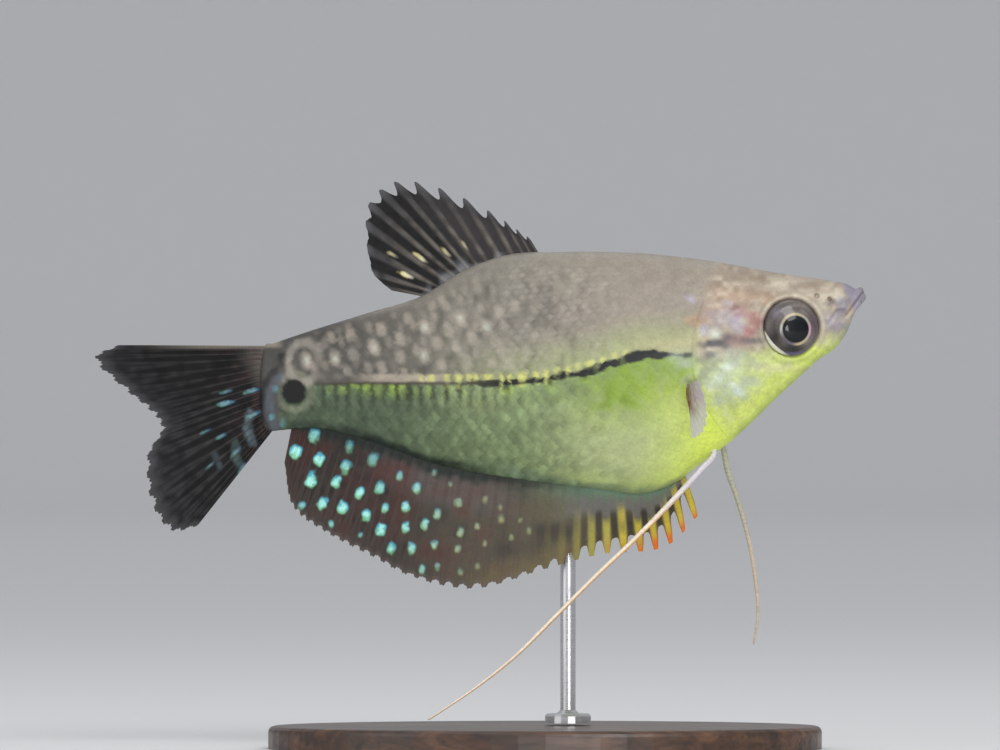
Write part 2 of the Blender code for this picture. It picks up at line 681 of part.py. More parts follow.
def main():
    for existing in list(bpy.data.objects):
        bpy.data.objects.remove(existing)
    parts = bpy.data.collections.new("pearl_gourami")
    bpy.context.scene.collection.children.link(parts)
    make_body(parts, material("skin", SKIN))
    make_eyes(parts, material("eye", EYE))
    make_fins(
        parts,
        material("fin_dark", FIN_DARK),
        material("fin_anal", FIN_ANAL),
        material("fin_clear", FIN_CLEAR),
        material("feeler", FEELER),
    )
    make_stand(parts, material("wood", WOOD), material("steel", STEEL))


main()
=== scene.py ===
"""Looks of the pearl gourami: skin, scales, rayed fins, feelers, eyes and the display stand.

Shapes are worked out in millimetres from the same named curves as the solids, and scaled to metres when
a mesh is made. The fish faces +X and its near side, the one in the photograph, faces -Y.
"""

import math

import bpy
import numpy as np
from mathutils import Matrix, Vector


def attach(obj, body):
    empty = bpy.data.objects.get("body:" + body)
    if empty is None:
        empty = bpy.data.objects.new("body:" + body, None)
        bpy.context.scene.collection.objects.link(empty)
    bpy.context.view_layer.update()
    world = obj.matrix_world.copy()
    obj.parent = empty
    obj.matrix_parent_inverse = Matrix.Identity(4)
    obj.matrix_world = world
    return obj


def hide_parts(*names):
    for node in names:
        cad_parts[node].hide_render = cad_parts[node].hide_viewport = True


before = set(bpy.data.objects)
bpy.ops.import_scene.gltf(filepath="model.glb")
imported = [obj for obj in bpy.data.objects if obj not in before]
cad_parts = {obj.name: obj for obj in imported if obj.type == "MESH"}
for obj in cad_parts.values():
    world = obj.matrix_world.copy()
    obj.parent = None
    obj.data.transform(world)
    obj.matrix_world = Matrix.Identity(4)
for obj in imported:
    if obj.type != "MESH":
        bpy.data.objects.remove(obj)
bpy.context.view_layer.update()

MM = 0.001
TURN = 2 * math.pi
RIGHT, LEFT = -1, 1  # sides of the fish by the sign of y

# Outline from the side, widths and section powers: (x, value) from the tail stem to the snout.
BACK_LINE = [
    (-35.4, 52.7), (-30.6, 54.3), (-22.9, 56.7), (-16.0, 58.9), (-10.5, 62.2), (-5.0, 64.2),
    (2.0, 64.6), (12.8, 64.4), (21.7, 63.4), (30.7, 61.8), (37.3, 60.8), (39.4, 60.35), (40.8, 59.5),
]
BELLY_LINE = [
    (-35.4, 41.3), (-30.0, 41.7), (-23.4, 40.2), (-14.1, 37.0), (-3.6, 35.1), (6.0, 33.9),
    (14.0, 33.4), (17.2, 34.7), (20.2, 37.0), (24.7, 40.4), (30.7, 46.1), (35.6, 50.6),
    (38.4, 52.9), (39.3, 54.3), (40.1, 56.3), (40.8, 57.9),
]
FLANK_LINE = [
    (-35.4, 46.8), (-14.0, 47.4), (0.0, 48.6), (10.0, 50.2), (20.0, 51.4), (30.0, 53.8),
    (37.0, 56.6), (40.8, 58.9),
]
HALF_WIDTH = [
    (-35.4, 1.0), (-30.0, 1.7), (-20.0, 2.8), (-10.0, 4.1), (0.0, 5.1), (10.0, 5.8), (18.0, 6.0),
    (24.0, 5.8), (30.7, 4.9), (35.0, 3.9), (38.0, 3.05), (39.5, 2.4), (40.8, 1.55),
]
KEEL_BELOW = [
    (-35.4, 1.0), (-25.0, 1.35), (5.0, 1.45), (16.0, 1.35), (26.0, 1.15), (34.0, 1.0), (40.8, 0.95),
]
KEEL_ABOVE = [(-35.4, 1.0), (-5.0, 1.12), (15.0, 1.05), (26.0, 0.9), (36.0, 0.8), (40.8, 0.9)]
TAIL_END_X, SNOUT_X = -35.4, 40.8
TAIL_CAP, SNOUT_CAP = 1.7, 0.55
BEND_START_X, BEND_AT_TAIL_TIP, BEND_POWER, TAIL_TIP_X = -8.0, 3.6, 1.8, -58.6

# Rear edge of the gill cover as (z, x), from the throat to the nape.
GILL_EDGE = [
    (38.4, 25.6), (42.4, 22.2), (46.2, 20.0), (50.4, 19.0), (54.2, 19.3), (58.4, 20.6), (62.6, 22.0),
    (67.0, 23.6),
]
GILL_X = 19.3
GILL_PUFF, GILL_PUFF_FROM_X = 0.15, 33.0
GILL_REACH_AHEAD, GILL_REACH_BEHIND = 15.0, 17.0  # how far stations lean along with the gill edge

EYE_X, EYE_Z, EYE_RADIUS, EYE_DEPTH, EYE_SUNK = 32.0, 54.75, 3.65, 1.55, 0.5
PUPIL_AHEAD, PUPIL_UP, PUPIL_RADIUS, PUPIL_BULGE = 0.27, -0.23, 1.74, 0.07
NOSTRILS = [(36.9, 58.5, 0.34), (35.3, 58.9, 0.42)]
CHEEK_GROOVE = [(27.6, 58.4), (25.6, 55.4), (24.9, 51.8), (26.0, 48.4), (28.6, 46.0)]
MAXILLA = [(36.9, 55.3), (37.7, 56.6), (38.7, 56.9), (39.3, 56.3)]
MOUTH_CORNER, MOUTH_TIP, MOUTH_HALF_WIDTH = (39.0, 56.3), (41.3, 59.4), 2.1
LIP_RADIUS, LIP_SPREAD, LIP_CORNER_SHARE, LIP_TURN = 0.54, 0.3, 0.62, 96
LIP_BACKS = ((1, 0.15), (-1, 0.6))  # upper and lower lip, and how far each is set back from the tip
LIP_BLEND, LIPS_FROM_X = 0.22, 36.5  # how softly the lips join the snout, and where they begin

# Guide rays of the fins: root x or z, then tip x and tip z.
DORSAL_GUIDES = [
    (-0.9, -2.0, 66.4), (-4.2, -7.2, 69.9), (-7.6, -13.6, 72.9), (-9.9, -19.4, 73.8),
    (-11.8, -22.9, 70.9), (-13.6, -23.2, 66.2), (-14.9, -22.3, 61.8), (-16.1, -20.0, 59.6),
]
ANAL_GUIDES = [
    (18.3, 20.0, 30.4), (14.2, 15.4, 26.2), (7.0, 7.2, 25.3), (0.0, -0.8, 23.2), (-7.0, -9.0, 20.9),
    (-13.5, -16.6, 22.2), (-19.0, -22.9, 25.3), (-24.5, -28.6, 28.3), (-29.5, -32.8, 31.6),
    (-33.0, -33.9, 37.2),
]
CAUDAL_GUIDES = [
    (52.4, -55.6, 52.5), (51.3, -58.6, 50.7), (49.9, -54.6, 46.7), (48.3, -51.4, 44.0),
    (46.6, -49.9, 41.6), (44.9, -51.7, 38.0), (43.4, -51.3, 32.4), (42.3, -48.8, 28.5),
    (41.4, -45.3, 28.9),
]
# Pectoral fins: root x and z on the flank, then the tip's way ahead, outwards and upwards.
PECTORAL_GUIDES = [
    (18.5, 47.4, 1.2, 9.0, 0.6), (18.4, 46.9, 2.4, 10.8, -1.4), (18.35, 46.4, 2.9, 10.6, -3.2),
    (18.4, 45.9, 2.4, 8.9, -4.5), (18.5, 45.5, 1.3, 6.6, -5.0), (18.7, 45.1, 0.2, 4.2, -4.6),
]
CAUDAL_RAYS, PECTORAL_RAYS, PECTORAL_LEAN = 20, 9, 0.15

# Feelers: root x, distance from the middle and radius, then x, distance, z and radius to the tip.
NEAR_ROOT = (21.9, 1.1, 0.54)
NEAR_ROUTE = [
    (20.3, 2.6, 36.4, 0.5), (17.2, 3.1, 33.0, 0.45), (11.9, 3.8, 27.6, 0.38), (6.4, 4.4, 22.4, 0.34),
    (1.3, 5.0, 17.3, 0.31), (-4.1, 5.7, 12.0, 0.29), (-9.6, 6.4, 7.7, 0.27), (-15.0, 7.0, 4.1, 0.25),
]
FAR_ROOT = (22.9, 1.7, 0.56)
FAR_ROUTE = [
    (23.8, 2.5, 36.2, 0.48), (24.9, 3.2, 33.0, 0.42), (26.4, 4.4, 27.9, 0.36), (27.5, 5.4, 21.8, 0.33),
    (27.8, 6.1, 17.2, 0.3), (27.3, 6.7, 13.6, 0.26),
]
FEELER_STRAIGHT, FEELER_SUNK, FEELER_RING = 0.3, 0.5, 0.55
FEELER_RINGS, FEELER_SIDES = 420, 14

# Markings, in millimetres.
STRIPE_LINE = [
    (-36.0, 46.8), (-29.0, 47.4), (-19.0, 47.5), (-8.5, 47.5), (-4.0, 47.6), (1.4, 48.3), (6.4, 49.4),
    (10.8, 50.8), (15.0, 51.2), (19.0, 51.2), (24.0, 52.0), (41.0, 56.0),
]
STRIPE_HALF = [
    (-31.0, 0.1), (-20.0, 0.13), (-12.0, 0.16), (-8.0, 0.34), (-5.0, 0.36), (3.0, 0.36), (9.0, 0.48),
    (14.6, 0.44), (16.0, 0.24), (17.4, 0.07), (19.4, 0.0),
]
TAIL_SPOT_X, TAIL_SPOT_Z, TAIL_SPOT_RADIUS = -32.6, 46.45, 1.58

# Display colours of the tones, from 0 to 255.
PAINT = dict(
    back=(131, 126, 115), rear_back=(74, 72, 69), shoulder=(152, 142, 129), rim=(150, 144, 134),
    pearl=(176, 168, 156), glint=(210, 216, 202), shade=(70, 68, 60), olive=(160, 167, 121),
    beige=(176, 164, 148), cream=(206, 208, 118), stripe=(12, 13, 12), umber=(58, 50, 40),
    lime=(150, 178, 66), breast=(202, 218, 124), throat=(220, 238, 100), leaf=(132, 160, 52),
    pale=(182, 193, 139), sage=(132, 150, 106), fern=(90, 106, 82), moss=(60, 70, 48),
    teal=(116, 138, 116), slate=(40, 50, 46), bar=(40, 48, 32), halo=(150, 150, 128),
    tan=(168, 154, 138), brown=(146, 131, 114), blush=(172, 106, 108), lilac=(178, 172, 188),
    mint=(186, 198, 178), frost=(216, 226, 214), bruise=(82, 80, 84), maroon=(104, 50, 50),
    rust=(176, 140, 112), lip=(140, 136, 152), bone=(206, 196, 174), butter=(190, 184, 140),
    mouth=(84, 68, 74), nostril=(62, 54, 56), fin_root=(70, 67, 64), band_blue=(84, 92, 104),
    band_dark=(24, 25, 28), band_pale=(92, 108, 114), band_green=(84, 106, 102), band_grey=(70, 82, 88),
    root_glint=(96, 150, 156), ink=(4, 4, 6), soot=(16, 17, 17), ash=(104, 99, 92),
    caudal_ray=(62, 60, 58), caudal_ray_end=(48, 48, 50), caudal_red=(74, 46, 44),
    caudal_edge=(128, 120, 110), caudal_rim=(84, 84, 86), caudal_blue=(54, 96, 130),
    caudal_green=(80, 124, 116), caudal_core=(120, 156, 158), anal_brown=(58, 50, 46),
    anal_dark=(38, 35, 34), anal_olive=(104, 99, 84), anal_grey=(104, 98, 98), anal_red=(84, 42, 38),
    anal_front=(98, 95, 68), anal_ray=(84, 74, 68), anal_front_ray=(120, 112, 72),
    anal_top=(106, 104, 100), anal_base=(98, 124, 104), anal_root=(30, 40, 36),
    anal_blue=(78, 166, 188), anal_green=(124, 196, 150), anal_core=(172, 240, 230),
    dull_blue=(100, 118, 100), dull_green=(150, 152, 98), dull_core=(184, 190, 150),
    ochre=(140, 130, 66), burnt=(112, 62, 34), fringe=(124, 110, 72), gold=(196, 176, 62),
    orange=(212, 110, 40), straw=(168, 160, 76), web=(46, 40, 32), anal_rim=(104, 98, 96),
    dorsal_brown=(22, 20, 19), dorsal_dark=(12, 11, 12), dorsal_ray=(104, 97, 90),
    dorsal_ray_end=(66, 65, 66), dorsal_front=(52, 49, 49), dorsal_fork=(128, 120, 112),
    dorsal_base=(140, 142, 146), dorsal_tan=(150, 142, 132), dorsal_gold=(190, 178, 120),
    dorsal_core=(220, 214, 170), dorsal_rim=(96, 96, 100), pectoral=(232, 224, 240),
    pectoral_end_and_light=(252, 250, 252), pectoral_ray=(206, 190, 212), pectoral_lilac=(226, 196, 222),
    pectoral_red=(128, 44, 52), feeler_gold=(226, 166, 84), feeler_cream_and_top_light=(240, 226, 204),
    feeler_painted_highlight=(178, 192, 224), feeler_root=(214, 208, 216), feeler_grey=(176, 174, 154),
    feeler_tan=(206, 186, 164), feeler_lilac=(190, 178, 186), iris=(114, 106, 100),
    iris_deep=(84, 77, 74), iris_rear=(30, 26, 28), iris_low=(26, 32, 26), iris_painted_reflection=(126, 120, 128),
    iris_top=(108, 102, 100), iris_line=(40, 36, 38), iris_ahead=(92, 78, 88), gilt=(186, 170, 132),
    gilt_green=(158, 160, 150), gilt_pink=(188, 152, 168), gilt_dark=(96, 88, 100), pupil=(3, 5, 12),
    silver=(232, 232, 214), violet=(104, 96, 132), eye_rim=(52, 46, 44), wood_dark=(38, 24, 16),
    wood=(70, 45, 29), wood_pale=(104, 70, 46),
)


def linear(colour):
    """Linear light from a display colour."""
    c = np.asarray(colour, float) / 255
    return np.where(c <= 0.04045, c / 12.92, ((c + 0.055) / 1.055) ** 2.4)


TONE = {name: linear(colour) for name, colour in PAINT.items()}


def smooth_curve(points):
    """A smooth function through (position, value) pairs, each slope set by the pair's two neighbours."""
    at, values = np.array(points, float).T
    steps = np.diff(at)
    secants = np.diff(values) / steps
    inner = (secants[:-1] * steps[1:] + secants[1:] * steps[:-1]) / (steps[:-1] + steps[1:])
    slopes = np.concatenate([secants[:1], inner, secants[-1:]])

    def value(x):
        x = np.clip(x, at[0], at[-1])
        i = np.clip(np.searchsorted(at, x, side="right") - 1, 0, len(at) - 2)
        t = (x - at[i]) / steps[i]
        start = (1 + 2 * t) * (1 - t) ** 2 * values[i] + t * (1 - t) ** 2 * steps[i] * slopes[i]
        end = t * t * (3 - 2 * t) * values[i + 1] + t * t * (t - 1) * steps[i] * slopes[i + 1]
        return start + end

    return value


def smooth_path(points, shares=None):
    """A smooth function of a share from 0 to 1 that runs through the points, evenly spaced if not told."""
    shares = np.linspace(0, 1, len(points)) if shares is None else shares
    curves = [smooth_curve(list(zip(shares, column))) for column in np.array(points, float).T]
    return lambda share: np.stack([curve(share) for curve in curves], axis=-1)


def ramp(value, low, high):
    """0 below low and 1 above high, with a smooth rise between them; falls if low is the higher."""
    t = np.clip((value - low) / (high - low), 0, 1)
    return t * t * (3 - 2 * t)


def dip(distance, width):
    """A rounded groove or ridge profile, 1 in the middle."""
    return np.exp(-((distance / width) ** 2))


def wave(phase):
    """Swings from 1 to 0 and back as the phase goes once round."""
    return 0.5 + 0.5 * np.cos(phase)


def unit(vectors):
    """The directions of vectors, as vectors of length 1."""
    return vectors / np.maximum(np.linalg.norm(vectors, axis=-1, keepdims=True), 1e-9)


def mix(first, second, share):
    share = np.asarray(share)[..., None]
    return first * (1 - share) + second * share


def blend(first, second, share):
    """A mix of two tones by name."""
    return mix(TONE[first], TONE[second], share)


CELL_FACTORS = (374761393, 668265263, 2147483647, 974634777)
ROW_FACTORS = (374761393, 668265263, 69069, 1442695041)


def random_at(place, seed, factors=CELL_FACTORS):
    """A repeatable random value from -1 to 1 for each whole-numbered place."""
    keys = place.astype(np.int64)
    h = keys[:, 0] * factors[0] + keys[:, 1] * factors[1] + keys[:, 2] * factors[2] + seed * factors[3]
    h = (h ^ (h >> 13)) * 1274126177 & 0x7FFFFFFF
    return ((h ^ (h >> 16)) & 0xFFFF) / 32767.5 - 1


def noise(points, size, seed):
    """Smooth random values from -1 to 1 over space, with lumps of about the given size."""
    p = np.asarray(points, float) / size + seed * 17.31
    cell = np.floor(p)
    t = p - cell
    t = t * t * (3 - 2 * t)
    total = np.zeros(len(p))
    for corner in range(8):
        way = np.array([(corner >> axis) & 1 for axis in range(3)])
        total += np.prod(np.where(way, t, 1 - t), axis=1) * random_at(cell + way, seed)
    return total


class Painter:
    """Lays tones over the points of a piece, within bounds of its fields such as x or height.

    A bound names a field and gives pairs of ends, each with the value where the tone is missing and the
    value where it is full.
    """

    def __init__(self, colour, **fields):
        self.colour = colour
        self.__dict__.update(fields)

    def within(self, **bounds):
        share = 1.0
        for name, ends in bounds.items():
            for low, high in zip(ends[::2], ends[1::2]):
                share = share * ramp(getattr(self, name), low, high)
        return share

    def wash(self, tone, amount=1.0, /, **bounds):
        """Lays on a tone, by its name or as a colour for each point."""
        tone = TONE[tone] if isinstance(tone, str) else tone
        self.colour = mix(self.colour, tone, amount * self.within(**bounds))

    def shade(self, change, /, **bounds):
        """Makes the colour lighter or darker by a share."""
        self.colour = self.colour * (1 + change * self.within(**bounds))[..., None]

    def lumps(self, size, seed):
        """Noise over the piece's own points."""
        return noise(self.points.reshape(-1, 3), size, seed).reshape(self.points.shape[:-1])


back, belly, flank = (smooth_curve(line) for line in (BACK_LINE, BELLY_LINE, FLANK_LINE))
half_width = smooth_curve(HALF_WIDTH)
keel_below, keel_above = smooth_curve(KEEL_BELOW), smooth_curve(KEEL_ABOVE)
gill_edge = smooth_curve(GILL_EDGE)
stripe_line, stripe_half = smooth_curve(STRIPE_LINE), smooth_curve(STRIPE_HALF)


def bend(x):
    """Sideways place of the fish's middle at x."""
    behind = np.maximum(0.0, BEND_START_X - x) / (BEND_START_X - TAIL_TIP_X)
    return BEND_AT_TAIL_TIP * behind**BEND_POWER


def height_at(x, up):
    middle = flank(x)
    return middle + up * np.where(up > 0, back(x) - middle, middle - belly(x))


def surface(u, angle):
    """Points of the body at stations u and angles round it, 0 on the back and half a turn on the belly.

    Stations lean with the rear edge of the gill cover, which lies at u = GILL_X.
    """
    u, angle = np.broadcast_arrays(np.asarray(u, float), np.asarray(angle, float))
    up, side = np.cos(angle), np.sin(angle)
    ahead = np.clip((u - GILL_X) / GILL_REACH_AHEAD, 0, 1)
    behind = np.clip((GILL_X - u) / GILL_REACH_BEHIND, 0, 1)
    lean = np.cos((ahead + behind) * math.pi / 2) ** 2
    x = u
    for _ in range(12):
        x = (x + u + (gill_edge(height_at(x, up)) - GILL_X) * lean) / 2
    power = np.where(up > 0, keel_above(x), keel_below(x))
    out = half_width(x) * np.abs(side) ** power + gill_cover(u, x, up)
    return np.stack([x, bend(x) + np.sign(side) * out, height_at(x, up)], axis=-1)


def cover_swell(x, up):
    """How far the gill cover stands out at x and at a share up the body."""
    along = np.clip((GILL_PUFF_FROM_X - x) / (GILL_PUFF_FROM_X - GILL_X), 0, 1)
    return GILL_PUFF * along * along * (3 - 2 * along) * np.maximum(0, 1 - up * up) ** 1.5


def gill_cover(u, x, up):
    """The gill cover's swelling, with a rounded edge and a groove behind it that fade out at the nape."""
    from_edge = u - GILL_X
    near = np.exp(-np.abs(from_edge) / 1.0)
    crisp = ramp(height_at(x, up), 60.0, 56.5)
    swell = cover_swell(x, up)
    behind = (1 - crisp) * swell * np.exp(-np.abs(from_edge) / 3.0) - 0.004 * crisp * near
    return np.where(from_edge >= 0, swell * (1 - 0.8 * crisp * near), behind)


def normals_at(u, angle):
    """Outward directions of the body at stations and angles."""
    step_u, step_angle = 0.04, 0.012
    along = surface(u + step_u, angle) - surface(u - step_u, angle)
    round_it = surface(u, angle + step_angle) - surface(u, angle - step_angle)
    return unit(np.cross(along, round_it))


def flank_out(x, z):
    """How far the skin stands out sideways at x and z."""
    middle = flank(x)
    up = (z - middle) / np.where(z > middle, back(x) - middle, middle - belly(x))
    power = np.where(z > middle, keel_above(x), keel_below(x))
    plain = half_width(x) * np.maximum(0, 1 - up * up) ** (power / 2)
    return plain + np.where(x > GILL_X, cover_swell(x, up), 0)


def flank_point(x, z, side, lift=0.0):
    """The point of the flank at x and z and the outward direction there, for single places."""
    step = 0.4
    out = [flank_out(x + dx, z + dz) for dx, dz in ((0, 0), (step, 0), (-step, 0), (0, step), (0, -step))]
    normal = unit(np.array([(out[2] - out[1]) / (2 * step), side, (out[4] - out[3]) / (2 * step)]))
    return np.array([x, side * out[0], z]) + normal * lift, normal


def distance_to_route(points, route):
    """Distance from each point to a line through the route's stops, and the share along it."""
    best, share = np.full(len(points), 1e9), np.zeros(len(points))
    for i, (a, b) in enumerate(zip(route[:-1], route[1:])):
        t = np.clip(((points - a) @ (b - a)) / ((b - a) @ (b - a)), 0, 1)
        d = np.linalg.norm(points - a - t[:, None] * (b - a), axis=1)
        share = np.where(d < best, (i + t) / (len(route) - 1), share)
        best = np.minimum(best, d)
    return best, share


def add_mesh(name, points, faces, smooth=None, colours=None, floats=(), uvs=()):
    """A mesh piece from points in millimetres, with its faces as arrays of three or four corners."""
    mesh = bpy.data.meshes.new(name)
    corners = np.concatenate([part.ravel() for part in faces]).astype(np.int32)
    counts = np.concatenate([np.full(len(part), part.shape[1], np.int32) for part in faces])
    starts = np.concatenate([[0], np.cumsum(counts)[:-1]]).astype(np.int32)
    mesh.vertices.add(len(points))
    mesh.vertices.foreach_set("co", (np.asarray(points) * MM).astype(np.float32).ravel())
    mesh.loops.add(len(corners))
    mesh.loops.foreach_set("vertex_index", corners)
    mesh.polygons.add(len(counts))
    mesh.polygons.foreach_set("loop_start", starts)
    mesh.polygons.foreach_set("use_smooth", np.ones(len(counts), bool) if smooth is None else smooth)
    mesh.update(calc_edges=True)
    if smooth is not None:
        # Edges of flat faces are marked sharp, so that they don't bend the light on smooth ones.
        edges, crisp = np.empty(len(corners), np.int32), np.zeros(len(mesh.edges), bool)
        mesh.loops.foreach_get("edge_index", edges)
        crisp[edges[np.repeat(~smooth, counts)]] = True
        mesh.edges.foreach_set("use_edge_sharp", crisp)
    if colours is not None:
        layer = mesh.attributes.new("markings", "FLOAT_COLOR", "POINT")
        rgba = np.ones((len(points), 4), np.float32)
        rgba[:, :3] = np.clip(colours, 0, 1)
        layer.data.foreach_set("color", rgba.ravel())
    for title, values in floats:
        layer = mesh.attributes.new(title, "FLOAT", "POINT")
        layer.data.foreach_set("value", np.asarray(values, np.float32))
    for title, values in uvs:
        layer = mesh.uv_layers.new(name=title)
        layer.data.foreach_set("uv", np.asarray(values, np.float32)[corners].ravel())
    mesh.validate()
    made = bpy.data.objects.new(name, mesh)
    bpy.context.scene.collection.objects.link(made)
    return made


def grid_faces(rows, columns, closed=False):
    """Quads of a grid of points laid out row by row; closed joins the last column to the first."""
    i, j = np.meshgrid(np.arange(rows - 1), np.arange(columns if closed else columns - 1), indexing="ij")
    a, b = i * columns + j, i * columns + (j + 1) % columns
    return np.stack([a, b, b + columns, a + columns], axis=-1).reshape(-1, 4)


def grid_rim(rows, columns):
    """Indices of a grid's outer points, in order round it."""
    index = np.arange(rows * columns).reshape(rows, columns)
    return np.concatenate([index[:, 0], index[-1, 1:], index[-2::-1, -1], index[0, -2:0:-1]])


def add_shell(name, points, first, last, colours, flip=False):
    """A closed mesh of rings of points, its two ends closed by fans from the points first and last."""
    rings, sides = points.shape[:2]
    ring = np.arange(sides)
    after, start, middle = (ring + 1) % sides, (rings - 1) * sides, np.full(sides, rings * sides)
    fans = [(middle, after, ring), (middle + 1, start + ring, start + after)]
    faces = [grid_faces(rings, sides, closed=True)] + [np.stack(fan, axis=1) for fan in fans]
    if flip:
        faces = [part[:, ::-1] for part in faces]
    points = np.concatenate([points.reshape(-1, 3), [first, last]])
    colours = colours.reshape(-1, 3)
    return add_mesh(name, points, faces, colours=np.concatenate([colours, colours[[0, -sides]]]))


def dress(piece, slot, material, *nodes):
    """Hangs a piece on the body, gives it its material and hides the solids that it stands for."""
    piece.data.materials.append(material)
    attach(piece, "root")
    if nodes:
        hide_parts(*nodes)
    return piece


# Markings

PEARL_PITCH = [(-36.0, 2.15), (-20.0, 2.05), (-5.0, 1.75), (12.0, 1.6), (30.0, 1.6)]
PEARL_ROW = 1.62
PEARL_TILT = 0.14  # how far a pearl's top leans back, as a share of its height
PEARL_POWER = 2.8  # a pearl's outline lies between an ellipse and a rectangle
GLINT_FROM = 1.1  # pearls of this size and above have a bright middle
DAB_PITCH, BAR_PITCH = 1.45, 1.6  # cream dabs over the stripe and dark bars under it
SIDE_AWAY = 40.0  # sets the noise of the two flanks apart

# Large pearls of the rear flank: x, z and size.
PEARLS = [
    (-31.0, 50.5, 1.2), (-27.8, 53.5, 0.9), (-25.3, 53.8, 1.0), (-27.3, 50.8, 1.1), (-24.9, 51.2, 1.0),
    (-22.2, 52.2, 1.2), (-21.3, 54.5, 1.0), (-18.8, 53.3, 1.0), (-18.8, 50.9, 1.0), (-21.2, 49.6, 0.9),
    (-17.8, 56.0, 0.9), (-15.6, 54.8, 1.1), (-15.7, 51.1, 1.1), (-14.0, 52.7, 1.0), (-12.6, 54.4, 1.0),
    (-11.0, 55.9, 1.1), (-12.9, 57.6, 0.8), (-9.5, 53.3, 1.0), (-11.5, 52.3, 0.9), (-10.1, 50.5, 0.9),
    (-7.6, 54.8, 1.1), (-8.4, 57.2, 0.8), (-6.0, 56.7, 1.0), (-3.9, 57.6, 0.9), (-5.8, 52.2, 1.0),
    (-4.5, 50.2, 1.0), (-23.0, 49.6, 0.8), (-25.7, 49.2, 0.8), (-29.2, 52.2, 0.8), (-6.9, 50.1, 0.8),
    (-13.2, 49.9, 0.8), (-18.3, 49.0, 0.7),
]
# Patches of the head: x, z, half length, half height, tone and strength.
HEAD_PATCHES = [
    (20.4, 53.2, 2.6, 1.5, "butter", 0.5), (22.8, 48.6, 4.6, 3.2, "mint", 0.6),
    (25.2, 46.9, 2.2, 1.6, "mint", 0.5), (24.6, 50.6, 1.3, 1.8, "mint", 0.35),
    (23.6, 49.6, 0.9, 0.6, "frost", 0.8), (22.5, 48.3, 0.8, 0.6, "frost", 0.6),
    (24.4, 47.4, 0.7, 0.5, "frost", 0.8), (25.2, 46.4, 0.8, 0.6, "frost", 0.75),
    (21.4, 47.0, 0.7, 0.9, "frost", 0.5), (22.4, 45.3, 0.9, 0.7, "mint", 0.6),
    (21.0, 50.2, 1.8, 0.8, "fern", 0.35), (19.2, 47.6, 0.9, 1.1, "moss", 0.7),
    (19.8, 46.2, 0.7, 0.9, "maroon", 0.7), (18.9, 48.6, 0.6, 0.6, "olive", 0.6),
    (20.9, 48.9, 0.9, 1.2, "bruise", 0.35), (26.2, 49.8, 0.6, 2.0, "fern", 0.2),
    (29.8, 49.6, 4.2, 0.8, "bone", 0.4), (36.0, 58.9, 3.2, 0.5, "bone", 0.7),
    (36.0, 57.8, 0.8, 1.4, "bone", 0.6), (38.1, 58.9, 0.7, 0.9, "bone", 0.9),
    (37.0, 58.0, 0.7, 0.5, "bruise", 0.45), (38.6, 57.6, 0.9, 1.3, "lip", 0.75),
    (30.8, 60.2, 3.8, 0.8, "bone", 0.45), (27.0, 60.8, 3.0, 0.8, "brown", 0.5),
    (34.0, 60.2, 2.4, 0.5, "brown", 0.6), (37.4, 55.4, 1.7, 1.2, "lilac", 0.5),
    (38.4, 54.2, 1.5, 1.4, "lip", 0.4), (36.4, 53.0, 1.4, 1.0, "bone", 0.45),
    (24.5, 58.6, 4.0, 1.4, "rust", 0.45), (29.2, 58.4, 2.4, 1.0, "rust", 0.4),
    (22.0, 57.0, 1.6, 1.0, "rust", 0.4), (18.9, 58.4, 0.7, 0.6, "lilac", 0.7),
    (19.6, 55.6, 2.2, 0.8, "rust", 0.7), (23.4, 56.2, 2.4, 1.3, "lilac", 0.4),
    (24.9, 55.2, 0.9, 1.3, "lilac", 0.65), (23.6, 58.0, 0.9, 0.4, "lilac", 0.45),
    (20.6, 54.3, 0.8, 0.9, "lilac", 0.8), (22.0, 54.0, 0.9, 0.8, "frost", 0.6),
    (27.1, 55.6, 1.1, 1.3, "blush", 0.6), (26.5, 54.2, 0.9, 0.9, "blush", 0.55),
    (25.5, 56.7, 1.4, 0.7, "blush", 0.4), (24.6, 57.3, 0.5, 0.4, "maroon", 0.55),
    (24.6, 53.0, 1.8, 0.9, "blush", 0.35), (21.9, 52.6, 2.0, 0.6, "bruise", 0.95),
    (23.6, 53.4, 1.0, 0.7, "bruise", 0.75), (20.6, 52.4, 0.8, 0.6, "bruise", 0.7),
    (21.1, 51.3, 0.9, 0.6, "bruise", 0.6), (26.8, 53.0, 1.8, 0.5, "bruise", 0.7),
    (17.4, 50.4, 1.7, 1.4, "mint", 0.4), (17.0, 52.6, 2.0, 0.8, "butter", 0.4),
    (18.4, 51.2, 0.6, 0.4, "stripe", 0.85),
]
# Curved bands across the root of the tail fin: their line, half width, tone and strength.
TAIL_BANDS = [
    ([(-34.5, 48.4), (-35.3, 47.2), (-35.8, 45.6), (-35.8, 43.6), (-35.0, 41.7)], 0.7, "band_blue", 0.75),
    ([(-34.2, 51.2), (-34.5, 49.6), (-35.8, 48.5), (-36.8, 46.0), (-36.9, 43.4), (-36.0, 41.0)],
     0.5, "band_dark", 0.9),
    ([(-38.3, 43.6), (-38.7, 41.6), (-37.9, 39.7)], 0.6, "band_pale", 0.85),
    ([(-40.3, 39.8), (-40.1, 37.8), (-39.2, 36.2)], 0.6, "band_green", 0.75),
    ([(-43.1, 38.4), (-42.3, 36.6)], 0.45, "band_grey", 0.6),
]
ROOT_GLINTS = [(-35.1, 46.8, 0.45), (-34.1, 42.4, 0.4), (-35.6, 43.2, 0.35)]


